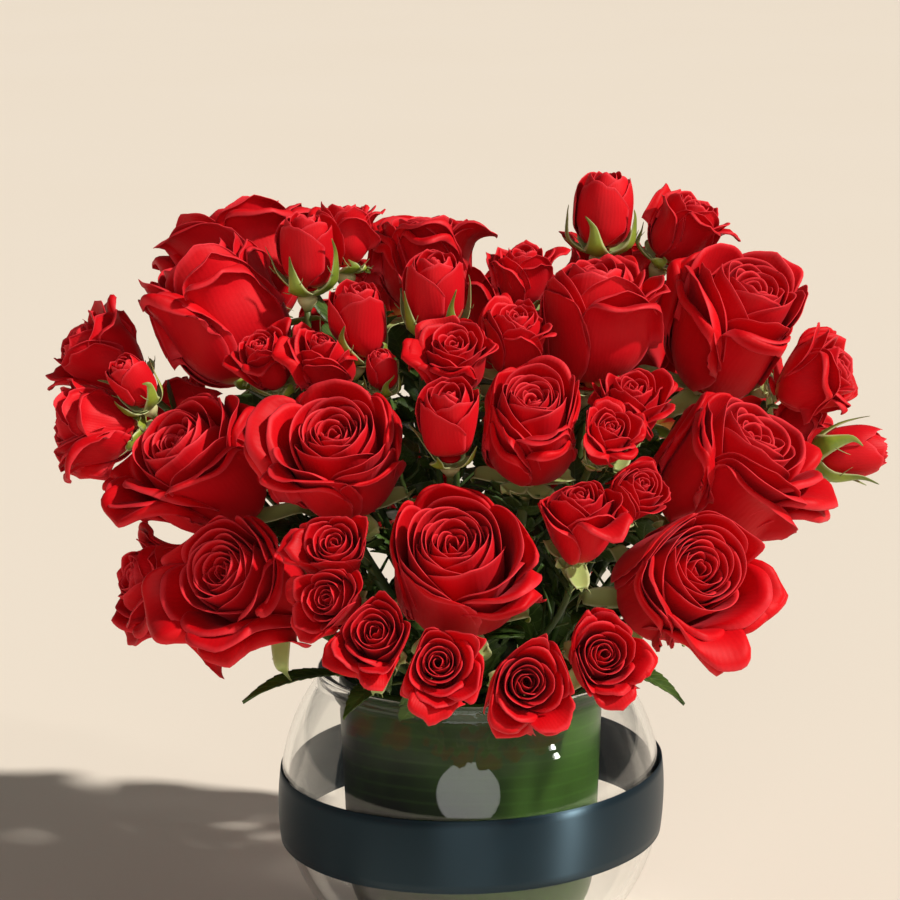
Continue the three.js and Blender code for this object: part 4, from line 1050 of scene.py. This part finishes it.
class Nodes:
    """A material's node tree, with short ways to add and link nodes. A colour is given by its name."""

    def __init__(self, name):
        self.material = bpy.data.materials.new(name)
        self.material.use_nodes = True
        self.tree = self.material.node_tree
        self.shader = self.tree.nodes["Principled BSDF"]

    def add(self, kind, inputs=None, **settings):
        node = self.tree.nodes.new("ShaderNode" + kind)
        for key, value in settings.items():
            setattr(node, key, value)
        for key, value in (inputs or {}).items():
            self.put(node.inputs[key], value)
        return node

    def put(self, socket, value):
        if isinstance(value, bpy.types.NodeSocket):
            self.tree.links.new(value, socket)
        else:
            socket.default_value = srgb(value) if isinstance(value, str) else value

    def set(self, **values):
        for key, value in values.items():
            self.put(self.shader.inputs[key.replace("_", " ")], value)

    @cached_property
    def position(self):
        return self.add("NewGeometry").outputs["Position"]

    def value(self, name):
        return self.add("Attribute", attribute_name=name).outputs["Fac"]

    def math(self, operation, a, b=0.0, c=0.0):
        return self.add("Math", {0: a, 1: b, 2: c}, operation=operation).outputs[0]

    def plus(self, a, b):
        return self.math("ADD", a, b)

    def times(self, a, b):
        return self.math("MULTIPLY", a, b)

    def absolute(self, a):
        return self.math("ABSOLUTE", a)

    def mix(self, share, a, b):
        return self.add("Mix", {0: share, 6: a, 7: b}, data_type="RGBA").outputs[2]

    def ramp(self, value, *stops):
        node = self.add("ValToRGB", {0: value})
        ramp = node.color_ramp
        while len(ramp.elements) < len(stops):
            ramp.elements.new(0.5)
        for element, (at, level) in zip(ramp.elements, stops):
            element.position = at
            element.color = grey(level)
        return node.outputs[0]

    def noise(self, scale, detail, roughness=0.5, vector=None):
        inputs = {"Scale": scale, "Detail": detail, "Roughness": roughness, "Vector": vector or self.position}
        return self.add("TexNoise", inputs).outputs[0]

    def bump(self, height, strength, distance):
        bump = self.add("Bump", {"Height": height, "Strength": strength, "Distance": distance})
        self.set(Normal=bump.outputs[0])

    def cylinder(self):
        """The angle round the Z axis, the height, and x."""
        x, y, z = self.add("SeparateXYZ", {0: self.position}).outputs
        return self.math("ARCTAN2", y, x), z, x


def petal_material():
    m = Nodes("rose_petal")
    u, v, outer, share, tone = map(m.value, ("petal_u", "petal_v", "outer_face", "share", "tone"))
    # Veins fan out from the foot and fork towards the rim
    fan = m.times(u, m.plus(14.0, m.times(v, 10.0)))
    vein = m.math("SINE", m.plus(m.times(fan, 3.0), m.times(m.noise(90.0, 2.0), 5.0)))
    vein = m.times(m.plus(vein, 1.0), 0.5)
    cloud = m.noise(38.0, 3.0, 0.55)
    colour = m.mix(m.ramp(cloud, (0.3, 0.0), (0.7, 1.0)), "petal_dark", "petal_light")
    colour = m.mix(m.times(vein, 0.08), colour, "petal_vein")
    colour = m.mix(m.times(outer, 0.4), colour, "petal_back")
    # The sides and the top of each petal are painted pale pink near the edge, a painted highlight where the
    # thin rims catch the light.
    side_rim_highlight = m.ramp(m.absolute(u), (0.9, 0.0), (1.0, 1.0))
    rim = m.math("MAXIMUM", side_rim_highlight, m.ramp(v, (0.955, 0.0), (1.0, 1.0)))
    colour = m.mix(m.times(rim, 0.5), colour, "petal_rim_highlight")
    colour = m.mix(m.plus(m.times(tone, 0.1), 0.12), colour, "petal_shade")
    foot = m.ramp(v, (0.0, 1.0), (0.1, 0.85), (0.24, 0.0))
    colour = m.mix(m.times(foot, m.times(share, 0.8)), colour, "petal_foot")
    m.set(Base_Color=colour, Roughness=m.ramp(cloud, (0.2, 0.5), (0.8, 0.62)), Specular_IOR_Level=0.16)
    m.set(Sheen_Weight=0.15, Sheen_Roughness=0.4, Sheen_Tint=(1.0, 0.14, 0.18, 1))
    height = m.plus(m.times(vein, 0.35), m.times(m.noise(1400.0, 2.0, 0.6), 0.25))
    m.bump(m.plus(height, m.times(m.noise(190.0, 2.0), 1.6)), 0.13, 0.0007)
    return m.material


def green_material():
    m = Nodes("rose_green")
    kind, u, v, outer, tone = map(m.value, ("kind", "petal_u", "petal_v", "outer_face", "tone"))
    from_rib = m.absolute(u)
    cloud = m.noise(60.0, 4.0, 0.6)
    mottled = m.ramp(cloud, (0.3, 0.0), (0.7, 1.0))
    stem = m.mix(mottled, "stem_dark", "stem_light")
    stem = m.mix(m.ramp(v, (0.5, 0.0), (1.0, 0.5)), stem, "stem_top")
    hip = m.mix(m.ramp(v, (0.0, 0.0), (0.45, 1.0)), "hip_foot", "hip_top")
    hip = m.mix(m.times(mottled, 0.3), hip, "hip_blotch")
    sepal = m.mix(mottled, "sepal_dark", "sepal_light")
    sepal = m.mix(m.times(m.math("SUBTRACT", 1.0, outer), 0.5), sepal, "sepal_back")
    sepal = m.mix(m.times(m.ramp(from_rib, (0.7, 0.0), (0.98, 1.0)), 0.7), sepal, "sepal_margin")
    sepal = m.mix(m.ramp(v, (0.55, 0.0), (1.0, 0.65)), sepal, "sepal_tip")
    # A leaf's rib, and the veins that slant away from it
    slanted = m.math("SINE", m.times(m.math("SUBTRACT", v, m.times(from_rib, 0.16)), 56.0))
    rib = m.ramp(from_rib, (0.0, 1.0), (0.07, 0.0))
    veins = m.math("MAXIMUM", rib, m.ramp(slanted, (0.9, 0.0), (1.0, 1.0)))
    leaf = m.mix(m.times(veins, 0.55), m.mix(mottled, "leaf_dark", "leaf_light"), "leaf_vein")
    colour = stem
    for its_kind, its_colour in ((HIP_KIND, hip), (SEPAL_KIND, sepal), (LEAF_KIND, leaf)):
        its_own = m.math("COMPARE", kind, its_kind, 0.4)
        colour = m.mix(its_own, colour, its_colour)
    colour = m.mix(m.times(m.plus(tone, 1.0), 0.09), colour, "green_shade")
    m.set(Base_Color=colour, Roughness=m.ramp(cloud, (0.2, 0.42), (0.8, 0.58)), Specular_IOR_Level=0.4)
    height = m.plus(m.times(m.noise(420.0, 2.0), 0.4), m.times(m.times(veins, its_own), -0.8))
    m.bump(height, 0.35, 0.0006)
    return m.material


def glass_material():
    m = Nodes("clear_glass")
    m.set(Base_Color=(0.975, 0.985, 0.98, 1), Roughness=0.0, IOR=1.42, Transmission_Weight=1.0)
    return m.material


def liner_material():
    m = Nodes("liner_leaf")
    angle, height, _ = m.cylinder()
    slant = m.plus(m.times(height, 900.0), m.times(m.math("SINE", angle), 6.0))
    vein = m.math("SINE", m.plus(slant, m.times(m.noise(25.0, 2.0), 3.0)))
    vein = m.ramp(vein, (0.55, 0.0), (1.0, 1.0))
    broad = m.noise(14.0, 3.0, 0.55)
    # The side towards the front right is painted lighter, as painted light from the key lamp, and the far
    # side darker, as painted shade, over a broad mottle of the leaf's own green.
    mottle_and_painted_light = m.plus(broad, m.times(m.math("COSINE", m.plus(angle, 0.9)), 0.3))
    colour = m.mix(m.ramp(mottle_and_painted_light, (0.48, 0.0), (0.92, 1.0)), "liner_dark", "liner_light")
    colour = m.mix(m.times(vein, 0.12), colour, "liner_vein")
    m.set(Base_Color=colour, Roughness=m.ramp(broad, (0.2, 0.24), (0.8, 0.4)), Specular_IOR_Level=0.25)
    m.bump(m.plus(m.times(vein, 0.5), m.noise(220.0, 3.0, 0.6)), 0.1, 0.0005)
    return m.material


def foam_material():
    m = Nodes("wet_foam")
    cells = m.add("TexVoronoi", {"Scale": 900.0, "Vector": m.position})
    m.set(Base_Color=m.mix(m.noise(120.0, 3.0), "foam_dark", "foam_light"), Roughness=0.85)
    m.bump(cells.outputs[0], 0.6, 0.0008)
    return m.material


def ribbon_material():
    m = Nodes("ribbon_satin")
    angle, height, x = m.cylinder()
    # Long floats of thread round the bowl, finely grained
    floats = m.add("CombineXYZ", {0: m.times(angle, 40.0), 1: m.times(height, 2600.0)})
    weave = m.times(m.noise(1.0, 3.0, 0.6, floats.outputs[0]), 0.6)
    weave = m.plus(weave, m.times(m.noise(1500.0, 2.0, 0.6), 0.4))
    middle = m.plus(RIBBON_Z * MM, m.times(x, RIBBON_RISE))
    from_middle = m.absolute(m.math("SUBTRACT", height, middle))
    selvage = m.ramp(m.math("DIVIDE", from_middle, RIBBON_WIDTH / 2 * MM), (0.93, 0.0), (0.96, 1.0))
    colour = m.mix(m.noise(30.0, 2.0), "ribbon_dark", "ribbon_light")
    colour = m.mix(m.times(selvage, 0.6), colour, "ribbon_selvage")
    m.set(Base_Color=colour, Roughness=m.mix(selvage, grey(0.42), grey(0.5)), Specular_IOR_Level=0.65)
    m.set(Specular_Tint=(0.5, 0.8, 1.0, 1), Anisotropic=0.95, Anisotropic_Rotation=0.25)
    m.bump(m.plus(weave, m.times(selvage, 1.5)), 0.16, 0.0002)
    return m.material


def floor_material():
    m = Nodes("pale_floor")
    m.set(Base_Color=m.mix(m.times(m.noise(1.5, 2.0), 0.06), "floor", "white"), Roughness=0.75)
    return m.material


# ---- The whole ----
def dress(obj, slot, *nodes):
    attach(obj, "root")
    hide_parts(*nodes)


blooms = [Bloom(row, i, "large") for i, row in enumerate(ROSES)]
blooms += [Bloom(row, len(ROSES) + i, "small") for i, row in enumerate(SPRAYS)]
part_neighbours(blooms)

petal = petal_material()
green = green_material()
for bloom in blooms:
    dress(bloom_piece(bloom, petal), "petals", bloom.name)
for bundle in BUNDLES:
    dress(bundle_piece(bundle, blooms, green), "greens", "stems_" + bundle)

bowl = bowl_piece(glass_material())
bowl.visible_shadow = False  # clear glass lets the light through to the leaf inside
dress(bowl, "bowl_glass", "glass_bowl")
dress(liner_piece(liner_material()), "liner_leaf", "leaf_liner")
dress(foam_piece(foam_material()), "foam", "floral_foam")
ribbon = ribbon_piece(ribbon_material())
dress(ribbon, "ribbon_satin", "ribbon")

# ---- Floor, light and camera ----
bpy.ops.mesh.primitive_circle_add(vertices=96, radius=FLOOR_RADIUS * MM, fill_type="NGON",
                                  location=(0, 0, FLOOR_Z * MM))
floor = bpy.context.object
floor.name = "floor"
floor.data.materials.append(floor_material())


def stand(name, data, azimuth, elevation, distance, target=(0, 0, 0)):
    """An object that looks at the target from a direction, in degrees."""
    a, e = math.radians(azimuth), math.radians(elevation)
    back = Vector((math.sin(a) * math.cos(e), -math.cos(a) * math.cos(e), math.sin(e)))
    obj = bpy.data.objects.new(name, data)
    obj.location = (Vector(target) + back * distance) * MM
    obj.rotation_mode = "QUATERNION"
    obj.rotation_quaternion = back.to_track_quat("Z", "Y")
    bpy.context.scene.collection.objects.link(obj)
    return obj


for name, strength, colour, width, azimuth, elevation in SUNS:
    light = bpy.data.lights.new(name, "SUN")
    light.energy = strength
    light.color = colour
    light.angle = math.radians(width)
    stand(name, light, azimuth, elevation, SUN_DISTANCE)

world = bpy.data.worlds.new("studio")
bpy.context.scene.world = world
world.use_nodes = True
background = world.node_tree.nodes["Background"]
background.inputs["Color"].default_value = ROOM_COLOUR
background.inputs["Strength"].default_value = ROOM_STRENGTH

lens = bpy.data.cameras.new("camera")
lens.sensor_width = SENSOR_WIDTH
lens.lens = SENSOR_WIDTH / 2 / math.tan(math.radians(CAMERA_HALF_VIEW))
bpy.context.scene.camera = stand("camera", lens, 0, CAMERA_ELEVATION, CAMERA_DISTANCE, CAMERA_TARGET)
bpy.context.scene.view_settings.view_transform = "Standard"

bpy.context.view_layer.update()
